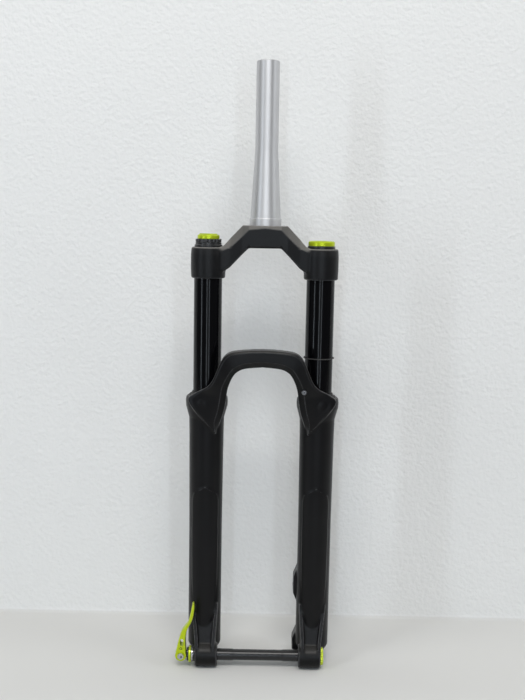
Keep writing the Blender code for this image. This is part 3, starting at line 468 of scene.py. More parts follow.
def turning_group():
    """Fine tool marks round a turned piece, as a height along its axis."""
    tree, inside, out = new_group(
        "turning_marks", (("Along", FLOAT, 0.0), ("Pitch", FLOAT, 0.0003)), (("Height", FLOAT),))
    turns = maths(tree, "DIVIDE", inside.outputs["Along"], inside.outputs["Pitch"])
    line = new_node(tree, "ShaderNodeTexNoise", noise_dimensions="1D")
    line.inputs["Scale"].default_value = 1.0
    line.inputs["Detail"].default_value = 3.0
    wire(tree, (turns, line.inputs["W"]), (line.outputs[0], out.inputs["Height"]))
    return tree


HANDLING_AND_SHEEN, GRAIN, EDGE_HIGHLIGHT, TURNING = handling_and_sheen_group(), grain_group(), edge_highlight_group(), turning_group()


def use_group(tree, group, **values):
    made = new_node(tree, "ShaderNodeGroup", node_tree=group)
    for key, value in values.items():
        socket = made.inputs[key]
        if isinstance(value, (int, float, tuple)):
            socket.default_value = value
        else:
            tree.links.new(value, socket)
    return made.outputs


def finish(name, colour, roughness, metallic=0.0, edge_highlight=None, edge_highlight_amount=0.3, smear=0.12, dust=0.1,
           painted_sheen=0.03, grain=1500.0, bump=0.05, turned=None, shine=0.5, mottle=0.12, stretch=0.0):
    """A material of the shared effects; its colour wanders a little in tone. Lighter outward edges are a
    painted highlight, and every finish carries a little painted sheen on up-facing skin.
    """
    material = bpy.data.materials.new(name)
    material.use_nodes = True
    tree = material.node_tree
    shader = tree.nodes["Principled BSDF"]
    shader.inputs["Metallic"].default_value = metallic
    shader.inputs["Specular IOR Level"].default_value = shine
    if stretch:
        around = new_node(tree, "ShaderNodeTangent", direction_type="RADIAL", axis=turned)
        shader.inputs["Anisotropic"].default_value = stretch
        shader.inputs["Anisotropic Rotation"].default_value = 0.25
        wire(tree, (around.outputs[0], shader.inputs["Tangent"]))
    spot = new_node(tree, "ShaderNodeTexCoord").outputs["Object"]
    tone = noise(tree, spot, 48.0, 5.0)
    darker = tuple(c * (1 - mottle) for c in colour) + (1,)
    lighter = tuple(min(1.0, c * (1 + mottle)) for c in colour) + (1,)
    shade = blend(tree, tone, darker, lighter)
    # Painted highlight along outward edges, in the finish's lighter edge colour.
    if edge_highlight:
        shade = use_group(tree, EDGE_HIGHLIGHT, Colour=shade, Rub=edge_highlight + (1,), Amount=edge_highlight_amount)["Colour"]
    # Smears and dust, and a painted sheen that lightens up-facing skin.
    handled_and_sheened = use_group(tree, HANDLING_AND_SHEEN, Colour=shade, Roughness=roughness, Smear=smear, Dust=dust,
                        Haze=painted_sheen)
    height = use_group(tree, GRAIN, Scale=grain)["Height"]
    if turned:
        axes = new_node(tree, "ShaderNodeSeparateXYZ")
        wire(tree, (spot, axes.inputs[0]))
        marks = use_group(tree, TURNING, Along=axes.outputs["XYZ".index(turned)], Pitch=0.00035)["Height"]
        height = maths(tree, "ADD", maths(tree, "MULTIPLY", height, 0.5), marks)
    relief = new_node(tree, "ShaderNodeBump")
    relief.inputs["Strength"].default_value = bump
    relief.inputs["Distance"].default_value = 0.0004
    wire(tree, (height, relief.inputs["Height"]), (handled_and_sheened["Colour"], shader.inputs["Base Color"]),
         (handled_and_sheened["Roughness"], shader.inputs["Roughness"]), (relief.outputs[0], shader.inputs["Normal"]))
    return material


# Each finish's lighter edge colour below is a painted highlight on outward edges.
LIME = (0.52, 0.64, 0.012)
LIME_EDGE_HIGHLIGHT = (0.85, 0.92, 0.30)
# The painted casting and, most strongly, the crown carry a painted sheen on their upper faces.
PAINT = finish("painted_casting", (0.0028, 0.0028, 0.0034), 0.34, edge_highlight=(0.13, 0.13, 0.135), edge_highlight_amount=0.65,
               dust=0.07, painted_sheen=0.07, grain=1900.0, bump=0.08, shine=0.21)
FORGED = finish("blasted_crown", (0.0026, 0.0027, 0.0034), 0.40, edge_highlight=(0.12, 0.12, 0.125), edge_highlight_amount=0.5,
                dust=0.10, painted_sheen=0.52, grain=2400.0, bump=0.12, shine=0.26)
HONED = finish("honed_stanchion", (0.0012, 0.0012, 0.0018), 0.12, smear=0.05, dust=0.02, grain=900.0,
               bump=0.012, shine=0.18)
BARE = finish("bare_aluminium", (0.64, 0.64, 0.65), 0.54, 1.0, edge_highlight=(0.86, 0.86, 0.87), smear=0.12, dust=0.03,
              bump=0.03, turned="Z", mottle=0.04, stretch=0.6)
BLACK_TURNED = finish("black_alloy", (0.010, 0.010, 0.011), 0.30, edge_highlight=(0.16, 0.16, 0.165), smear=0.1,
                      dust=0.06, bump=0.06, turned="Z")
BLACK_AXLE = finish("black_axle", (0.008, 0.008, 0.009), 0.24, edge_highlight=(0.20, 0.20, 0.20), smear=0.12, dust=0.04,
                    bump=0.05, turned="X")
LIME_Z, LIME_X = (
    finish(name, LIME, 0.30, 0.55, edge_highlight=LIME_EDGE_HIGHLIGHT, smear=0.1, dust=0.02, bump=0.05, turned=axis, mottle=0.06)
    for name, axis in (("lime_anodised", "Z"), ("lime_anodised_axle", "X"))
)
STEEL = finish("plated_steel", (0.52, 0.52, 0.53), 0.28, 1.0, edge_highlight=(0.85, 0.85, 0.86), dust=0.02, bump=0.05,
               turned="Z", mottle=0.08)
DARK_STEEL = finish("blackened_steel", (0.10, 0.10, 0.105), 0.32, 1.0, edge_highlight=(0.45, 0.45, 0.46), edge_highlight_amount=0.6,
                    dust=0.02, bump=0.05, mottle=0.1)
RUBBER = finish("seal_rubber", (0.012, 0.012, 0.012), 0.62, edge_highlight=(0.05, 0.05, 0.05), smear=0.2, dust=0.25,
                grain=2600.0, bump=0.1)
BRONZE = finish("bushing_bronze", (0.45, 0.28, 0.12), 0.40, 0.9, bump=0.06, turned="Z")
ELASTOMER = finish("elastomer", (0.50, 0.44, 0.16), 0.58, bump=0.06)
FOAM = finish("oiled_foam", (0.08, 0.08, 0.09), 0.92, grain=1200.0, bump=0.6)


# Steerer and stanchions
def dress_steerer():
    base_bore = STEERER_BORE_R + 2 * MM
    outline = [
        (base_bore, STEERER_LOW), (SEAT_R, STEERER_LOW), (SEAT_R, 8.4 * MM), (STEERER_BASE_R, TAPER_LOW),
        (STEERER_TOP_R, TAPER_TOP), (STEERER_TOP_R, STEERER_TOP - 1 * MM),
        (STEERER_TOP_R - 1 * MM, STEERER_TOP), (STEERER_BORE_R + 0.4 * MM, STEERER_TOP),
        (STEERER_BORE_R, STEERER_TOP - 0.4 * MM), (STEERER_BORE_R, TAPER_TOP), (base_bore, TAPER_LOW),
    ]
    tube = lathe(rounded(outline, 0.35 * MM))
    piece("steerer_skin", tube, "crown_unit", BARE, "bare_aluminium", "steerer_tube")


def dress_stanchions():
    bore = STANCHION_R - 2.2 * MM
    outline = rounded(ring(bore, STANCHION_R, STANCHION_END, STANCHION_TOP), 0.6 * MM)
    for side, sign in SIDES:
        tube = lathe(outline, (sign * LEG_X, LEG_Y, 0))
        piece("stanchion_skin_" + side, tube, "crown_unit", HONED, "gloss_black", "stanchion_" + side)


# Crown
def crown_section(x, top, bottom, middle, half, bevel):
    front, back, soft = middle - half, middle + half, 2.5 * MM
    return [
        (x, back, top - soft), (x, back - soft, top), (x, front + bevel, top), (x, front, top - bevel),
        (x, front, bottom + soft), (x, front + soft, bottom), (x, back - soft, bottom),
        (x, back, bottom + soft),
    ]


def dress_crown():
    half, flat, height = 27 * MM, 28 * MM, 27.5 * MM
    root, inside = LEG_X - BOSS_R * 0.885, LEG_X - BOSS_R * 0.35
    arm = flat + (root - flat) * 0.65
    sections = [
        crown_section(0, 0, -height, -1 * MM, half, 3 * MM),
        crown_section(flat * 0.71, 0, -height, LEG_Y * 0.15, half * 0.93, 5 * MM),
        crown_section(flat, 0, -height - 8 * MM, LEG_Y * 0.30, half * 0.84, 13 * MM),
        crown_section(arm, BOSS_TOP * 0.58, BOSS_BOTTOM + 14 * MM, LEG_Y * 0.66, BOSS_R * 0.92, 11.5 * MM),
        crown_section(root, BOSS_TOP + 2 * MM, BOSS_BOTTOM + 8.5 * MM, LEG_Y * 0.82, BOSS_R * 0.84, 5 * MM),
        crown_section(inside, BOSS_TOP - 2 * MM, BOSS_BOTTOM + 3.5 * MM, LEG_Y, BOSS_R * 0.78, 3 * MM),
    ]
    boss = rounded([(0, BOSS_BOTTOM), (BOSS_R - 0.5 * MM, BOSS_BOTTOM), (BOSS_R, BOSS_BOTTOM + 12 * MM),
                    (BOSS_R, BOSS_TOP - 9 * MM), (BOSS_R - 0.8 * MM, BOSS_TOP), (0, BOSS_TOP)], 2.2 * MM)
    bosses = [lathe(boss, (sign * LEG_X, LEG_Y, 0)) for _, sign in SIDES]
    crown = soften_corners(cast(gather(loft(both_sides(sections)), *bosses), 0.8 * MM, 2), 5, 14)
    bore = rod(STANCHION_R + CLEARANCE, BOSS_BOTTOM - 5 * MM, BOSS_TOP + 12 * MM)
    bores = [lathe(bore, (sign * LEG_X, LEG_Y, 0)) for _, sign in SIDES]
    bores.append(lathe(rod(SEAT_R + CLEARANCE, -height - 5 * MM, 5 * MM)))
    piece("crown_skin", cut(crown, *bores), "crown_unit", FORGED, "satin_black", "crown")


# Adjusters on top of the legs
def dress_damper_top():
    at = (-LEG_X, LEG_Y, 0)
    low, dial_top = (corner.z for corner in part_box("high_speed_dial"))
    seat, flange = BOSS_TOP + CLEARANCE, STANCHION_R - CLEARANCE
    neck = STANCHION_R - 1.4 * MM
    base = rounded([
        (NEEDLE_BORE_R, BOSS_TOP - CAP_DEPTH), (CAP_STEM_R, BOSS_TOP - CAP_DEPTH), (CAP_STEM_R, seat),
        (flange, seat), (flange, BOSS_TOP + 2.7 * MM), (neck, BOSS_TOP + 3.3 * MM), (neck, low - CLEARANCE),
        (NEEDLE_BORE_R, low - CLEARANCE),
    ], 0.35 * MM)
    piece("damper_cap_skin", lathe(base, at), "crown_unit", BLACK_TURNED, "satin_black", "damper_top_cap")
    dial = knurled(7.3 * MM, 16 * MM, 1.2 * MM, 18, low, dial_top, 0.5 * MM, at)
    piece("high_speed_dial_skin", dial, "high_speed_adjuster", BLACK_TURNED, "black_alloy",
          "high_speed_dial")
    stem, rim = 7 * MM, 13.7 * MM
    knob_low = dial_top + CLEARANCE
    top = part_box("low_speed_knob")[1].z
    floor = top - 2.6 * MM
    outline = rounded([
        (0, low), (stem, low), (stem, knob_low), (rim, knob_low), (rim, top - 2.2 * MM),
        (rim - 1.4 * MM, top - 1.2 * MM), (rim - 2.6 * MM, top - 1.2 * MM), (rim - 3.4 * MM, floor),
        (0, floor),
    ], 0.4 * MM)
    reach, waist, half = rim * 0.88, rim * 0.30, 2.2 * MM
    fin = [(-reach, -half), (waist, -half), (reach, -0.9 * MM), (reach, 0.9 * MM), (waist, half),
           (-reach, half)]
    bar = prism(fin, top - 3.6 * MM, top, "Z")
    bmesh.ops.bevel(bar, geom=bar.edges[:], offset=0.5 * MM, segments=3, profile=0.5, affect="EDGES",
                    material=-1)
    bmesh.ops.rotate(bar, verts=bar.verts, matrix=Matrix.Rotation(math.radians(-28), 3, "Z"))
    bmesh.ops.translate(bar, verts=bar.verts, vec=Vector(at))
    knob = gather(lathe(outline, at), bar)
    piece("low_speed_knob_skin", knob, "low_speed_adjuster", LIME_Z, "lime_anodised", "low_speed_knob")


def dress_air_top():
    at = (LEG_X, LEG_Y, 0)
    bore, seat, flange, lid = 3 * MM, BOSS_TOP + CLEARANCE, STANCHION_R - 0.5 * MM, BOSS_TOP + 3.3 * MM
    base = rounded([
        (bore, BOSS_TOP - CAP_DEPTH), (CAP_STEM_R, BOSS_TOP - CAP_DEPTH), (CAP_STEM_R, seat), (flange, seat),
        (flange, lid), (bore, lid),
    ], 0.35 * MM)
    piece("air_base_skin", lathe(base, at), "crown_unit", BLACK_TURNED, "satin_black", "air_top_cap")
    low, top = (corner.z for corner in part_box("air_cap"))
    valve_r, valve_top, rim = 5 * MM, low + 4.6 * MM, 16.4 * MM
    outline = rounded([
        (0, valve_top), (valve_r, valve_top), (valve_r, low), (rim, low), (rim, top - 1.4 * MM),
        (rim - 1.4 * MM, top), (rim * 0.62, top), (rim * 0.52, top - 1.2 * MM), (rim * 0.2, top - 1.2 * MM),
        (rim * 0.14, top - 0.6 * MM), (0, top - 0.6 * MM),
    ], 0.35 * MM)
    piece("air_cap_skin", lathe(outline, at), "valve_cover", LIME_Z, "lime_anodised", "air_cap")


def dress_travel_ring():
    low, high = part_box("travel_ring")
    thick = (high.z - low.z) / 2
    middle = (low.z + high.z) / 2
    centre = STANCHION_R + CLEARANCE + thick
    points = [math.tau * i / 14 for i in range(14)]
    section = [(centre + thick * math.cos(a), middle + thick * math.sin(a)) for a in points]
    band = lathe(section, (LEG_X, LEG_Y, 0))
    piece("travel_ring_skin", band, "travel_marker", RUBBER, "seal_rubber", "travel_ring")


# Lower casting
def arch_section(outer, inner, front_outer, front_inner, back):
    """A section of the arch between its outer and inner (x, z) points, bevelled towards the wheel."""
    (outer_x, outer_z), (inner_x, inner_z) = outer, inner

    def between(share):
        return outer_x + (inner_x - outer_x) * share, outer_z + (inner_z - outer_z) * share

    bevel = min(0.34, ARCH_BEVEL / math.dist(outer, inner))
    (rim_x, rim_z), (edge_x, edge_z) = between(0.12), between(1 - bevel)
    inner_y = min(front_inner + ARCH_DEPTH * 0.45, back - 1 * MM)
    outer_y = min(front_outer + ARCH_DEPTH * 0.12, back - 1 * MM)
    return [
        (outer_x, back, outer_z), (outer_x, outer_y, outer_z), (rim_x, front_outer, rim_z),
        (edge_x, front_inner, edge_z), (inner_x, inner_y, inner_z), (inner_x, back, inner_z),
    ]


def arch_sections():
    """Sections of the right half, from the middle of the arch down to the point of the gusset on the leg."""
    back = LEG_Y - BOSS_R - 2 * MM
    front = back - ARCH_DEPTH
    inside = LEG_Y - 12 * MM
    leg_front = LEG_Y - LEG_R
    top = COLLAR_TOP + ARCH_RISE
    under = top - ARCH_HEIGHT

    def hung(from_leg, down):
        return LEG_X + from_leg * MM, top - down * MM

    def low(from_leg, down):
        return LEG_X + from_leg * MM, COLLAR_TOP - down * MM

    def even(outer, inner, step):
        return arch_section(outer, inner, front + step * MM, front + step * MM, back)

    return [
        even((0, top), (0, under), 0),
        even((20 * MM, top - 0.9 * MM), (22 * MM, under - 2.2 * MM), 0),
        even(hung(-31, 3.6), (LEG_X - 38 * MM, under - 7 * MM), 0.6),
        even(hung(-22.5, 9.5), (LEG_X - 33.5 * MM, under - 12.5 * MM), 1.5),
        even(hung(-17, 19), (LEG_X - 30.5 * MM, under - 18.5 * MM), 3),
        even(low(-8, -23), low(-27.5, -14), 6),
        arch_section(low(0, -14), low(-26, -6), front + 10 * MM, front + 8 * MM, back),
        arch_section(low(12, -7), low(-25.2, 0), LEG_Y - 25 * MM, front + 9.5 * MM, LEG_Y - 20 * MM),
        arch_section(low(22, 1.5), low(-24.5, 5), LEG_Y - 22.8 * MM, front + 10.5 * MM, inside),
        arch_section(low(17, 13), low(-22, 18), LEG_Y - 24.6 * MM, front + 13 * MM, inside),
        arch_section(low(2, 31), low(-17.5, 32), leg_front - 3.5 * MM, leg_front - 3.5 * MM, inside),
        arch_section(low(-11, 46), low(-13.5, 46), leg_front + 0.5 * MM, leg_front + 0.5 * MM, inside),
    ]


def leg_outline():
    return [
        (0, COLLAR_TOP), (COLLAR_R - 2.2 * MM, COLLAR_TOP), (COLLAR_R - 0.5 * MM, COLLAR_TOP - 2 * MM),
        (COLLAR_R, COLLAR_TOP - 7 * MM), (COLLAR_R - 0.4 * MM, COLLAR_TOP - 13 * MM),
        (COLLAR_R - 2 * MM, COLLAR_TOP - 19 * MM), (LEG_R + 1.2 * MM, COLLAR_TOP - 28 * MM),
        (LEG_R + 0.8 * MM, COLLAR_TOP - 45 * MM), (LEG_R, (COLLAR_TOP + LEG_FOOT) / 2),
        (LEG_R, LEG_FOOT + 5 * MM), (LEG_R - 2.5 * MM, LEG_FOOT), (0, LEG_FOOT),
    ]


def leg_bore():
    seat = COLLAR_TOP - 18.1 * MM
    floor = LEG_FOOT + 13 * MM
    over = 6 * MM
    return [
        (0, COLLAR_TOP + over), (SEAL_SEAT_R, COLLAR_TOP + over), (SEAL_SEAT_R, seat), (LEG_BORE_R, seat),
        (LEG_BORE_R, floor), (FOOT_HOLE_R, floor), (FOOT_HOLE_R, LEG_FOOT - over), (0, LEG_FOOT - over),
    ]


def dropout_web(sign):
    """The recessed blade between the ribs of a dropout."""
    radius = DROPOUT_R - 6 * MM
    top = AXLE_Z + 46 * MM
    outline = [(LEG_Y - LEG_R * 0.75, top), (AXLE_Y - radius, AXLE_Z), (AXLE_Y, AXLE_Z - radius),
               (LEG_Y - LEG_R * 0.55, LEG_FOOT + 1.5 * MM), (LEG_Y - LEG_R * 0.55, top)]
    low, high = sorted((sign * (DROPOUT_IN + 2 * MM), sign * (DROPOUT_OUT - 2 * MM)))
    return prism(outline, low, high)


def dropout_rib(sign, foot, top, width):
    """A rib from the flank of the leg to the axle boss; foot and top are its outer places across."""
    back, flank = LEG_Y - LEG_R * 0.5, LEG_Y - LEG_R * 0.75
    sections = []
    for rise, share in ((64, 1.12), (56, 1.0), (44, 0.74), (32, 0.44), (20, 0.14), (8, 0.0), (-9, 0.0)):
        edge = sign * (foot + (top - foot) * share)
        inside = edge + (sign * width if top < foot else -sign * width)
        lead = min(1.0, max(0.0, (58 - rise) / 54))
        front = flank + (AXLE_Y - DROPOUT_R - flank) * lead
        if rise < 0:
            front = AXLE_Y - DROPOUT_R * 0.75
        z = AXLE_Z + rise * MM
        sections.append([(edge, front, z), (inside, front, z), (inside, back, z), (edge, back, z)])
    return loft(sections)


def front_panel(x):
    """The raised panel on the front of a leg, with a pointed top; it dies away towards the dropout."""
    stations = ((114, 0.05, 1.3), (118.5, 0.36, 1.2), (124, 0.74, 1.0), (132, 0.86, 0.9), (175, 0.88, 0.9),
                (235, 0.84, 0.8), (268, 0.70, 0.2), (300, 0.50, -1.0))
    shares = [i / 8 - 1 for i in range(17)]
    sections = []
    for down, spread, proud in stations:
        z = COLLAR_TOP - down * MM
        row = []
        for radius, order in ((LEG_R + proud * MM, shares), (LEG_R - 3 * MM, reversed(shares))):
            row += [(x + radius * math.sin(s * spread), LEG_Y - radius * math.cos(s * spread), z)
                    for s in order]
        sections.append(row)
    return loft(sections)


def guide_screw_place():
    low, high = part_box("hose_guide_screw")
    return (low.x + high.x) / 2, low.y + 2 * MM, (low.z + high.z) / 2


def brake_posts():
    """The two posts with their fairings, and the cutters of their holes."""
    post_x = LEG_X - LEG_R + 3.7 * MM
    upper_z, face = AXLE_Z + POST_SPACING, LEG_Y + 32 * MM
    inboard = post_x - POST_R
    shapes = [lathe(rod(POST_R, -28.3 * MM, 0), (post_x, face, z), "Y") for z in (AXLE_Z, upper_z)]
    near, far = LEG_X - LEG_R * 0.5, LEG_X - LEG_R * 0.9
    upper = [(near, upper_z + 38 * MM), (far, upper_z + 36 * MM), (inboard, upper_z + 20 * MM),
             (inboard, upper_z - 2 * MM), (far, upper_z - 17 * MM), (near, upper_z - 19 * MM)]
    lower = [(near, AXLE_Z + 27 * MM), (far, AXLE_Z + 25 * MM), (inboard, AXLE_Z + 10 * MM),
             (inboard, AXLE_Z - 5 * MM), (post_x, AXLE_Z - 7.2 * MM), (near, AXLE_Z + 2 * MM)]
    shapes += [prism(outline, LEG_Y + 2 * MM, LEG_Y + 21 * MM, "Y") for outline in (upper, lower)]
    hole = rod(2.6 * MM, -15 * MM, 3 * MM)
    holes = [lathe(hole, (post_x, face, z), "Y", 48) for z in (AXLE_Z, upper_z)]
    return shapes, holes


def casting_blank():
    """The whole casting without its bores, and the cutters of the post holes."""
    arch = loft(both_sides([[tuple(p) for p in row] for row in eased(arch_sections(), 6)]))
    relief = rod(BOSS_R + 1.4 * MM, COLLAR_TOP - 1 * MM, COLLAR_TOP + ARCH_RISE + 20 * MM)
    reliefs = [lathe(relief, (sign * LEG_X, LEG_Y, 0)) for _, sign in SIDES]
    shapes, post_holes = brake_posts()
    shapes.append(cut(arch, *reliefs))
    rib = 4.5 * MM
    for _, sign in SIDES:
        shapes.append(lathe(leg_outline(), (sign * LEG_X, LEG_Y, 0)))
        shapes.append(front_panel(sign * LEG_X))
        shapes.append(dropout_web(sign))
        shapes.append(dropout_rib(sign, DROPOUT_IN, DROPOUT_IN - 2.5 * MM, rib))
        shapes.append(dropout_rib(sign, DROPOUT_OUT, DROPOUT_OUT + 5.5 * MM, rib))
        ends = sorted((sign * (DROPOUT_IN - HUB_LIP), sign * DROPOUT_OUT))
        boss = rounded(rod(DROPOUT_R + 0.4 * MM, *ends), 0.8 * MM)
        shapes.append(lathe(boss, (0, AXLE_Y, AXLE_Z), "X"))
    return soften_corners(cast(gather(*shapes), 0.8 * MM, 3), 3, 8), post_holes


def axle_bore():
    over, axle_hole, nut_seat = DROPOUT_OUT + 3 * MM, AXLE_R + CLEARANCE, DROPOUT_OUT - 14 * MM
    return [(0, -over), (axle_hole, -over), (axle_hole, nut_seat), (NUT_SEAT_R, nut_seat), (NUT_SEAT_R, over),
            (0, over)]


def dress_casting():
    """One casting; its skin is cut at a level of plain leg, only to keep each piece light."""
    casting, post_holes = casting_blank()
    seam = COLLAR_TOP - 75 * MM
    upper = sliced(casting.copy(), seam, True)
    holes = [lathe(leg_bore(), (sign * LEG_X, LEG_Y, 0)) for _, sign in SIDES]
    holes.append(lathe(rod(1.8 * MM, -1 * MM, 7 * MM), guide_screw_place(), "Y", 48))
    skins = {"upper": cut(upper, *holes)}
    legs = sliced(casting, seam, False)
    axle = (0, AXLE_Y, AXLE_Z)
    for side, sign in SIDES:
        leg = legs.copy()
        far_side = [vert for vert in leg.verts if vert.co.x * sign < 0]
        bmesh.ops.delete(leg, geom=far_side, context="VERTS")
        pocket = sorted((sign * (DROPOUT_IN - HUB_LIP - 3 * MM), sign * DROPOUT_IN))
        holes = [lathe(leg_bore(), (sign * LEG_X, LEG_Y, 0)), lathe(axle_bore(), axle, "X"),
                 lathe(rod(HUB_SEAT_R, *pocket), axle, "X")]
        if side == "right":
            holes += post_holes
        skins[side] = cut(leg, *holes)
    legs.free()
    for name, skin in skins.items():
        piece("casting_skin_" + name, skin, "lowers", PAINT, "satin_black", "lower_casting", seam=seam)


# Small parts of the sliding legs
def dress_leg_fittings():
    slide, body, shelf = STANCHION_R + CLEARANCE, SEAL_SEAT_R - CLEARANCE, COLLAR_TOP + CLEARANCE
    seal = rounded([
        (slide, SEAL_LOW), (body, SEAL_LOW), (body, shelf), (22 * MM, shelf),
        (22 * MM, COLLAR_TOP + 1.7 * MM), (slide + 2.2 * MM, COLLAR_TOP + 2.4 * MM),
        (slide + 1.1 * MM, COLLAR_TOP + 3.2 * MM), (slide + 1.3 * MM, COLLAR_TOP + 4.1 * MM),
        (slide + 0.5 * MM, SEAL_LIP), (slide, SEAL_LIP),
    ], 0.3 * MM)
    for side, sign in SIDES:
        at = (sign * LEG_X, LEG_Y, 0)
        piece("wiper_skin_" + side, lathe(seal, at), "lowers", RUBBER, "seal_rubber", "wiper_seal_" + side)
        low, high = (corner.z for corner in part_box("crush_washer_" + side))
        washer = lathe(rounded(ring(FOOT_HOLE_R, 7.3 * MM, low, high), 0.3 * MM), at, steps=64)
        piece("crush_washer_skin_" + side, washer, "lowers", BARE, "bare_aluminium", "crush_washer_" + side)
        low, high = (corner.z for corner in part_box("foot_bolt_" + side))
        head_r, head_top, thread_r = 7.5 * MM, low + 4.5 * MM, 3.4 * MM
        outline = rounded([
            (NEEDLE_BORE_R, low), (head_r, low), (head_r, head_top), (thread_r, head_top), (thread_r, high),
            (NEEDLE_BORE_R, high),
        ], 0.5 * MM)
        bolt = lathe(outline, at, steps=64)
        piece("foot_bolt_skin_" + side, bolt, "lowers", STEEL, "steel", "foot_bolt_" + side)
    dress_axle_nut()
    head_r, thread_r, depth = 3.4 * MM, 1.5 * MM, 6 * MM
    outline = rounded([
        (0, depth), (thread_r, depth), (thread_r, -CLEARANCE), (head_r, -CLEARANCE), (2.6 * MM, -2 * MM),
        (0, -2 * MM),
    ], 0.25 * MM)
    x, y, z = guide_screw_place()
    screw = cut(lathe(outline, (x, y, z), "Y", 48), hex_socket(x, z, 1.5 * MM, y - 4 * MM, y - 0.7 * MM))
    piece("guide_screw_skin", screw, "lowers", DARK_STEEL, "steel", "hose_guide_screw")
    low, high = (corner.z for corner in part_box("rebound_knob"))
    knob = knurled(NEEDLE_BORE_R, 7 * MM, 0.8 * MM, 12, low, high, 0.6 * MM, (-LEG_X, LEG_Y, 0))
    piece("rebound_knob_skin", knob, "rebound_adjuster", LIME_Z, "lime_anodised", "rebound_knob")


def dress_axle_nut():
    bore, rim = AXLE_R + CLEARANCE, NUT_R + 1 * MM
    inner_end, shoulder = DROPOUT_OUT - 13.7 * MM, DROPOUT_OUT + CLEARANCE
    outline = rounded([
        (bore, inner_end), (NUT_R, inner_end), (NUT_R, shoulder), (rim, shoulder), (rim, NUT_END - 0.8 * MM),
        (NUT_R, NUT_END), (bore, NUT_END),
    ], 0.3 * MM)
    nut = lathe(outline, steps=NUT_TEETH * TEETH_STEPS)
    knurl(nut, NUT_TEETH, 0.7 * MM, NUT_R + 0.15 * MM)
    bmesh.ops.rotate(nut, verts=nut.verts, matrix=Matrix.Rotation(math.pi / 2, 3, "Y"))
    bmesh.ops.translate(nut, verts=nut.verts, vec=Vector((0, AXLE_Y, AXLE_Z)))
    piece("axle_nut_skin", nut, "lowers", LIME_X, "lime_anodised", "axle_nut")


# Through-axle and lever
def dress_axle():
    """The hollow shaft; its end is flattened to a tongue that the lever's fork straddles."""
    at = (0, AXLE_Y, AXLE_Z)
    neck, end, waist = -79 * MM, NUT_END - 1 * MM, DROPOUT_IN * 0.55
    stem, bore, bore_end, slim = 4.5 * MM, 4.55 * MM, neck + 10 * MM, AXLE_R - 0.5 * MM
    outline = rounded([
        (0, PIVOT_X), (stem, PIVOT_X), (stem, neck), (AXLE_R, neck), (AXLE_R, -waist - 3 * MM),
        (slim, -waist), (slim, waist), (AXLE_R, waist + 3 * MM), (AXLE_R, end - 1 * MM),
        (AXLE_R - 1 * MM, end), (bore, end), (bore, bore_end), (0, bore_end),
    ], 0.4 * MM)
    half, wide = 3 * MM, 20 * MM
    tongue = lathe(rod(6.5 * MM, -half, half), (PIVOT_X, AXLE_Y, AXLE_Z), "Y", 64)
    flat = corners(PIVOT_X - wide, PIVOT_X + 7.6 * MM, AXLE_Z - wide, AXLE_Z + wide)
    trims = [prism(flat, AXLE_Y + low, AXLE_Y + high, "Y") for low, high in ((-wide, -half), (half, wide))]
    shaft = cut(lathe(outline, at, "X", 96), *trims)
    piece("axle_skin", gather(shaft, tongue), "through_axle", BLACK_AXLE, "black_alloy", "axle_shaft")
    finishes = {"axle_spacer": (BLACK_AXLE, "black_alloy"), "serrated_washer": (STEEL, "steel"),
                "cup_washer": (LIME_X, "lime_anodised"), "cam_follower": (BLACK_AXLE, "black_alloy")}
    for node, (material, slot) in finishes.items():
        low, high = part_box(node)
        radius = (high.y - low.y) / 2
        washer = lathe(rounded(ring(4.8 * MM, radius, low.x, high.x), 0.4 * MM), at, "X", 96)
        piece(node + "_skin", washer, "through_axle", material, slot, node)
    dress_pivot_bolt()


def dress_pivot_bolt():
    low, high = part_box("lever_pivot_bolt")
    front, back = low.y - AXLE_Y, high.y - AXLE_Y
    head_r, head_back, pin_r = 4 * MM, front + 2.4 * MM, 2.5 * MM
    outline = rounded([
        (0, front), (head_r, front), (head_r, head_back), (pin_r, head_back), (pin_r, back), (0, back),
    ], 0.35 * MM)
    socket = hex_socket(PIVOT_X, AXLE_Z, 2.2 * MM, low.y - 2 * MM, low.y + 4.5 * MM)
    pin = cut(lathe(outline, (PIVOT_X, AXLE_Y, AXLE_Z), "Y", 64), socket)
    piece("pivot_bolt_skin", pin, "through_axle", STEEL, "steel", "lever_pivot_bolt")


def lever_blank(axis):
    """The curved blade fused with its round eye; the spine gives height, outer and inner side, half depth."""
    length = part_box("lever")[1].z - AXLE_Z
    spine = ((0.02, -6.7, 6.7, 6.8), (0.12, -5.6, 6.4, 6.8), (0.26, -3.4, 5.8, 6.6), (0.44, 0.3, 7.0, 6.0),
             (0.54, 4.6, 9.6, 5.6), (0.63, 9.0, 13.0, 5.4), (0.75, 11.2, 15.6, 5.4),
             (0.90, 13.2, 16.9, 5.0), (1.00, 14.4, 16.2, 3.6))
    sections = []
    for share, outer, inner, half in spine:
        rim = [(outer, -half + 1.2), (outer + 0.6, -half), (inner - 0.6, -half), (inner, -half + 1.2),
               (inner, half - 1.2), (inner - 0.6, half), (outer + 0.6, half), (outer, half - 1.2)]
        sections.append([axis + Vector((x * MM, y * MM, length * share)) for x, y in rim])
    eye = lathe(rounded(rod(7.3 * MM, -7 * MM, 7 * MM), 0.8 * MM), axis, "Y", 96)
    return cast(gather(loft(eased(sections, 6)), eye), 0.45 * MM, 4)


def lever_window(axis):
    """The outline of the long hole in the lever, with round ends."""
    radius, offset = 2.2, 1.2
    outline = []
    for middle, turn in ((20.0, 0), (14.8, 180)):
        for i in range(13):
            angle = math.radians(turn + 15 * i)
            outline.append((axis.x + (offset + radius * math.cos(angle)) * MM,
                            axis.z + (middle + radius * math.sin(angle)) * MM))
    return outline


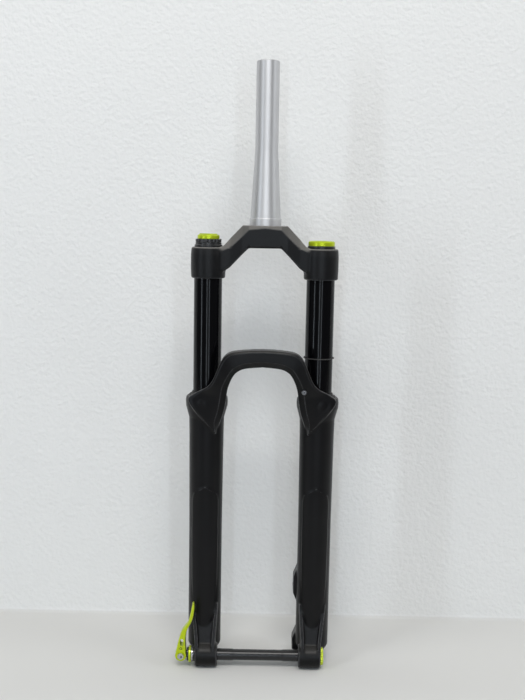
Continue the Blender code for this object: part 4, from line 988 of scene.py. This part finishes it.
def dress_lever():
    axis = Vector((PIVOT_X, AXLE_Y, AXLE_Z))
    wide, half_slot = 20 * MM, 3.3 * MM
    slot = corners(axis.x - wide, axis.x + wide, axis.z - wide, axis.z + 9.8 * MM)
    blade = cut(lever_blank(axis), prism(slot, axis.y - half_slot, axis.y + half_slot, "Y"))
    hole = lathe(rod(2.8 * MM, -wide, wide), axis, "Y", 48)
    blade = cut(blade, hole, prism(lever_window(axis), axis.y - wide, axis.y + wide, "Y"))
    piece("lever_skin", blade, "axle_lever", LIME_Z, "lime_anodised", "lever")
    front, floor, back, key, rim = -6.9 * MM, -5.6 * MM, -4 * MM, 1.0 * MM, 1.7 * MM
    outline = [(0, floor), (key, floor), (key, front), (rim, front), (rim, back), (0, back)]
    screw = lathe(rounded(outline, 0.15 * MM), axis + Vector((0.2 * MM, 0, 9.6 * MM)), "Y", 32)
    piece("lever_set_screw", screw, "axle_lever", BLACK_AXLE, "black_alloy")


def dress_hidden_nodes():
    """Pieces inside the legs keep their CAD shape and get a finish."""
    finishes = (
        (BARE, ("damper_cartridge",)),
        (BRONZE, ("compression_piston", "rebound_piston", "bushing_upper_left", "bushing_upper_right",
                  "bushing_lower_left", "bushing_lower_right")),
        (STEEL, ("damper_seal_head", "air_valve", "seal_head_circlip", "damper_rod", "air_shaft",
                 "low_speed_needle", "rebound_needle")),
        (BLACK_TURNED, ("air_seal_head", "air_piston")),
        (ELASTOMER, ("top_out_bumper", "bottom_out_bumper")),
        (FOAM, ("foam_ring_left", "foam_ring_right")),
    )
    for material, nodes in finishes:
        for node in nodes:
            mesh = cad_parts[node].data
            mesh.materials.clear()
            mesh.materials.append(material)


# Stage, light and camera
def stage_material(name, wall, table, room, floor_z):
    """A plastered wall and a table, clear from behind; every ray but the camera's sees the table turn to grey
    towards the front, a painted shade in reflections and bounced light.
    """
    material = bpy.data.materials.new(name)
    material.use_nodes = True
    tree = material.node_tree
    shader = tree.nodes["Principled BSDF"]
    shader.inputs["Roughness"].default_value = 0.9
    shader.inputs["Specular IOR Level"].default_value = 0.1
    spot = new_node(tree, "ShaderNodeTexCoord").outputs["Object"]
    axes = new_node(tree, "ShaderNodeSeparateXYZ")
    wire(tree, (spot, axes.inputs[0]))

    def between(value, low, high):
        made = new_node(tree, "ShaderNodeMapRange", interpolation_type="SMOOTHSTEP")
        made.inputs["From Min"].default_value = low
        made.inputs["From Max"].default_value = high
        wire(tree, (value, made.inputs["Value"]))
        return made.outputs[0]

    upright = between(axes.outputs[2], floor_z + 1 * MM, floor_z + 4 * MM)
    plaster = blend(tree, noise(tree, spot, 6.0, 3.0), tuple(c * 0.97 for c in wall) + (1,), wall + (1,))
    seen = new_node(tree, "ShaderNodeLightPath").outputs["Is Camera Ray"]
    # Painted shade: away from the camera's own rays, the table fades to the room grey towards the front.
    near = maths(tree, "MAXIMUM", between(axes.outputs[1], -0.95, -0.25), seen)
    sheet = blend(tree, near, room + (1,), table + (1,))
    tone = blend(tree, upright, sheet, plaster)
    relief = new_node(tree, "ShaderNodeBump")
    relief.inputs["Strength"].default_value = 0.55
    relief.inputs["Distance"].default_value = 0.003
    height = maths(tree, "MULTIPLY", noise(tree, spot, 170.0, 2.0), upright)
    clear = new_node(tree, "ShaderNodeBsdfTransparent")
    mix = new_node(tree, "ShaderNodeMixShader")
    back = new_node(tree, "ShaderNodeNewGeometry").outputs["Backfacing"]
    out = tree.nodes["Material Output"]
    wire(tree, (tone, shader.inputs["Base Color"]), (height, relief.inputs["Height"]),
         (relief.outputs[0], shader.inputs["Normal"]), (back, mix.inputs[0]),
         (shader.outputs[0], mix.inputs[1]), (clear.outputs[0], mix.inputs[2]),
         (mix.outputs[0], out.inputs["Surface"]))
    return material


def build_stage():
    """A pale floor that turns up into a plain pale wall; it can be seen only from its lit side."""
    floor_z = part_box("lower_casting")[0].z - 0.5 * MM
    wall_y, curve, reach, front = 0.117, 0.006, 3.0, -1.3
    bm = bmesh.new()
    path = [(front, floor_z)]
    for i in range(13):
        angle = math.radians(90 * i / 12)
        path.append((wall_y - curve + curve * math.sin(angle), floor_z + curve - curve * math.cos(angle)))
    path.append((wall_y, reach))
    verts = [bm.verts.new((-reach, y, z)) for y, z in path]
    edges = [bm.edges.new(pair) for pair in zip(verts, verts[1:])]
    grown = bmesh.ops.extrude_edge_only(bm, edges=edges)["geom"]
    moved = [item for item in grown if isinstance(item, bmesh.types.BMVert)]
    bmesh.ops.translate(bm, verts=moved, vec=Vector((2 * reach, 0, 0)))
    bm.normal_update()
    if sum(face.normal.z for face in bm.faces) < 0:
        bmesh.ops.reverse_faces(bm, faces=bm.faces)
    mesh = bpy.data.meshes.new("floor")
    bm.to_mesh(mesh)
    bm.free()
    mesh.shade_smooth()
    # The room grey is painted shade, seen only in reflections and bounced light off the front of the table.
    wall, table, room = (0.84, 0.84, 0.83), (0.70, 0.695, 0.675), (0.32, 0.32, 0.32)
    mesh.materials.append(stage_material("pale_stage", wall, table, room, floor_z))
    floor = bpy.data.objects.new("floor", mesh)
    bpy.context.scene.collection.objects.link(floor)


def lamp(name, place, target, wide, tall, power, colour):
    light = bpy.data.lights.new(name, "AREA")
    light.shape = "RECTANGLE"
    light.size, light.size_y = wide, tall
    light.energy = power
    light.color = colour
    obj = bpy.data.objects.new(name, light)
    bpy.context.scene.collection.objects.link(obj)
    obj.visible_camera = False
    obj.location = Vector(place)
    obj.rotation_euler = (Vector(target) - Vector(place)).to_track_quat("-Z", "Y").to_euler()


def build_light():
    """Soft lamps and three tall windows, which streak the stanchions; the camera sees a paler room."""
    world = bpy.data.worlds.new("studio")
    world.use_nodes = True
    tree = world.node_tree
    lit = tree.nodes["Background"]
    lit.inputs["Color"].default_value = (0.94, 0.97, 1.0, 1)
    seen = new_node(tree, "ShaderNodeLightPath").outputs["Is Camera Ray"]
    strength = maths(tree, "ADD", maths(tree, "MULTIPLY", seen, 0.42), 0.16)
    wire(tree, (strength, lit.inputs["Strength"]))
    bpy.context.scene.world = world
    aim, sky = (0, -0.02, -0.2), (0.80, 0.90, 1.0)
    lamp("ceiling", (0.05, -1.5, 1.8), aim, 1.6, 0.8, 31, (1.0, 0.985, 0.96))
    lamp("key", (-1.5, -0.9, 1.5), aim, 0.8, 0.8, 7, (1.0, 0.98, 0.95))
    lamp("fill", (1.8, -0.5, 0.9), aim, 0.8, 1.4, 8, (0.94, 0.97, 1.0))
    lamp("room", (0.1, -2.6, -0.2), aim, 1.1, 1.8, 2.4, (0.92, 0.96, 1.0))
    lamp("window_side", (-1.55, -1.35, 0.1), aim, 0.10, 1.5, 6.0, sky)
    lamp("window_near", (-0.24, -2.2, 0.1), aim, 0.07, 1.5, 4.6, sky)
    lamp("window_far", (0.50, -2.1, 0.1), aim, 0.07, 1.5, 3.8, sky)


def build_camera():
    data = bpy.data.cameras.new("camera")
    data.lens = 49.94
    data.sensor_width = 36.0
    data.sensor_fit = "AUTO"
    data.clip_start = 0.01
    camera = bpy.data.objects.new("camera", data)
    bpy.context.scene.collection.objects.link(camera)
    look_down, roll = 7.9, 1.05
    turn = Matrix.Rotation(math.radians(90 - look_down), 4, "X") @ Matrix.Rotation(math.radians(roll), 4, "Z")
    camera.matrix_world = Matrix.Translation((-0.0008, -1.225, 0.013)) @ turn
    bpy.context.scene.camera = camera
    bpy.context.scene.view_settings.view_transform = "Standard"


dress_steerer()
dress_stanchions()
dress_crown()
dress_damper_top()
dress_air_top()
dress_travel_ring()
dress_casting()
dress_leg_fittings()
dress_axle()
dress_lever()
dress_hidden_nodes()
build_stage()
build_light()
build_camera()
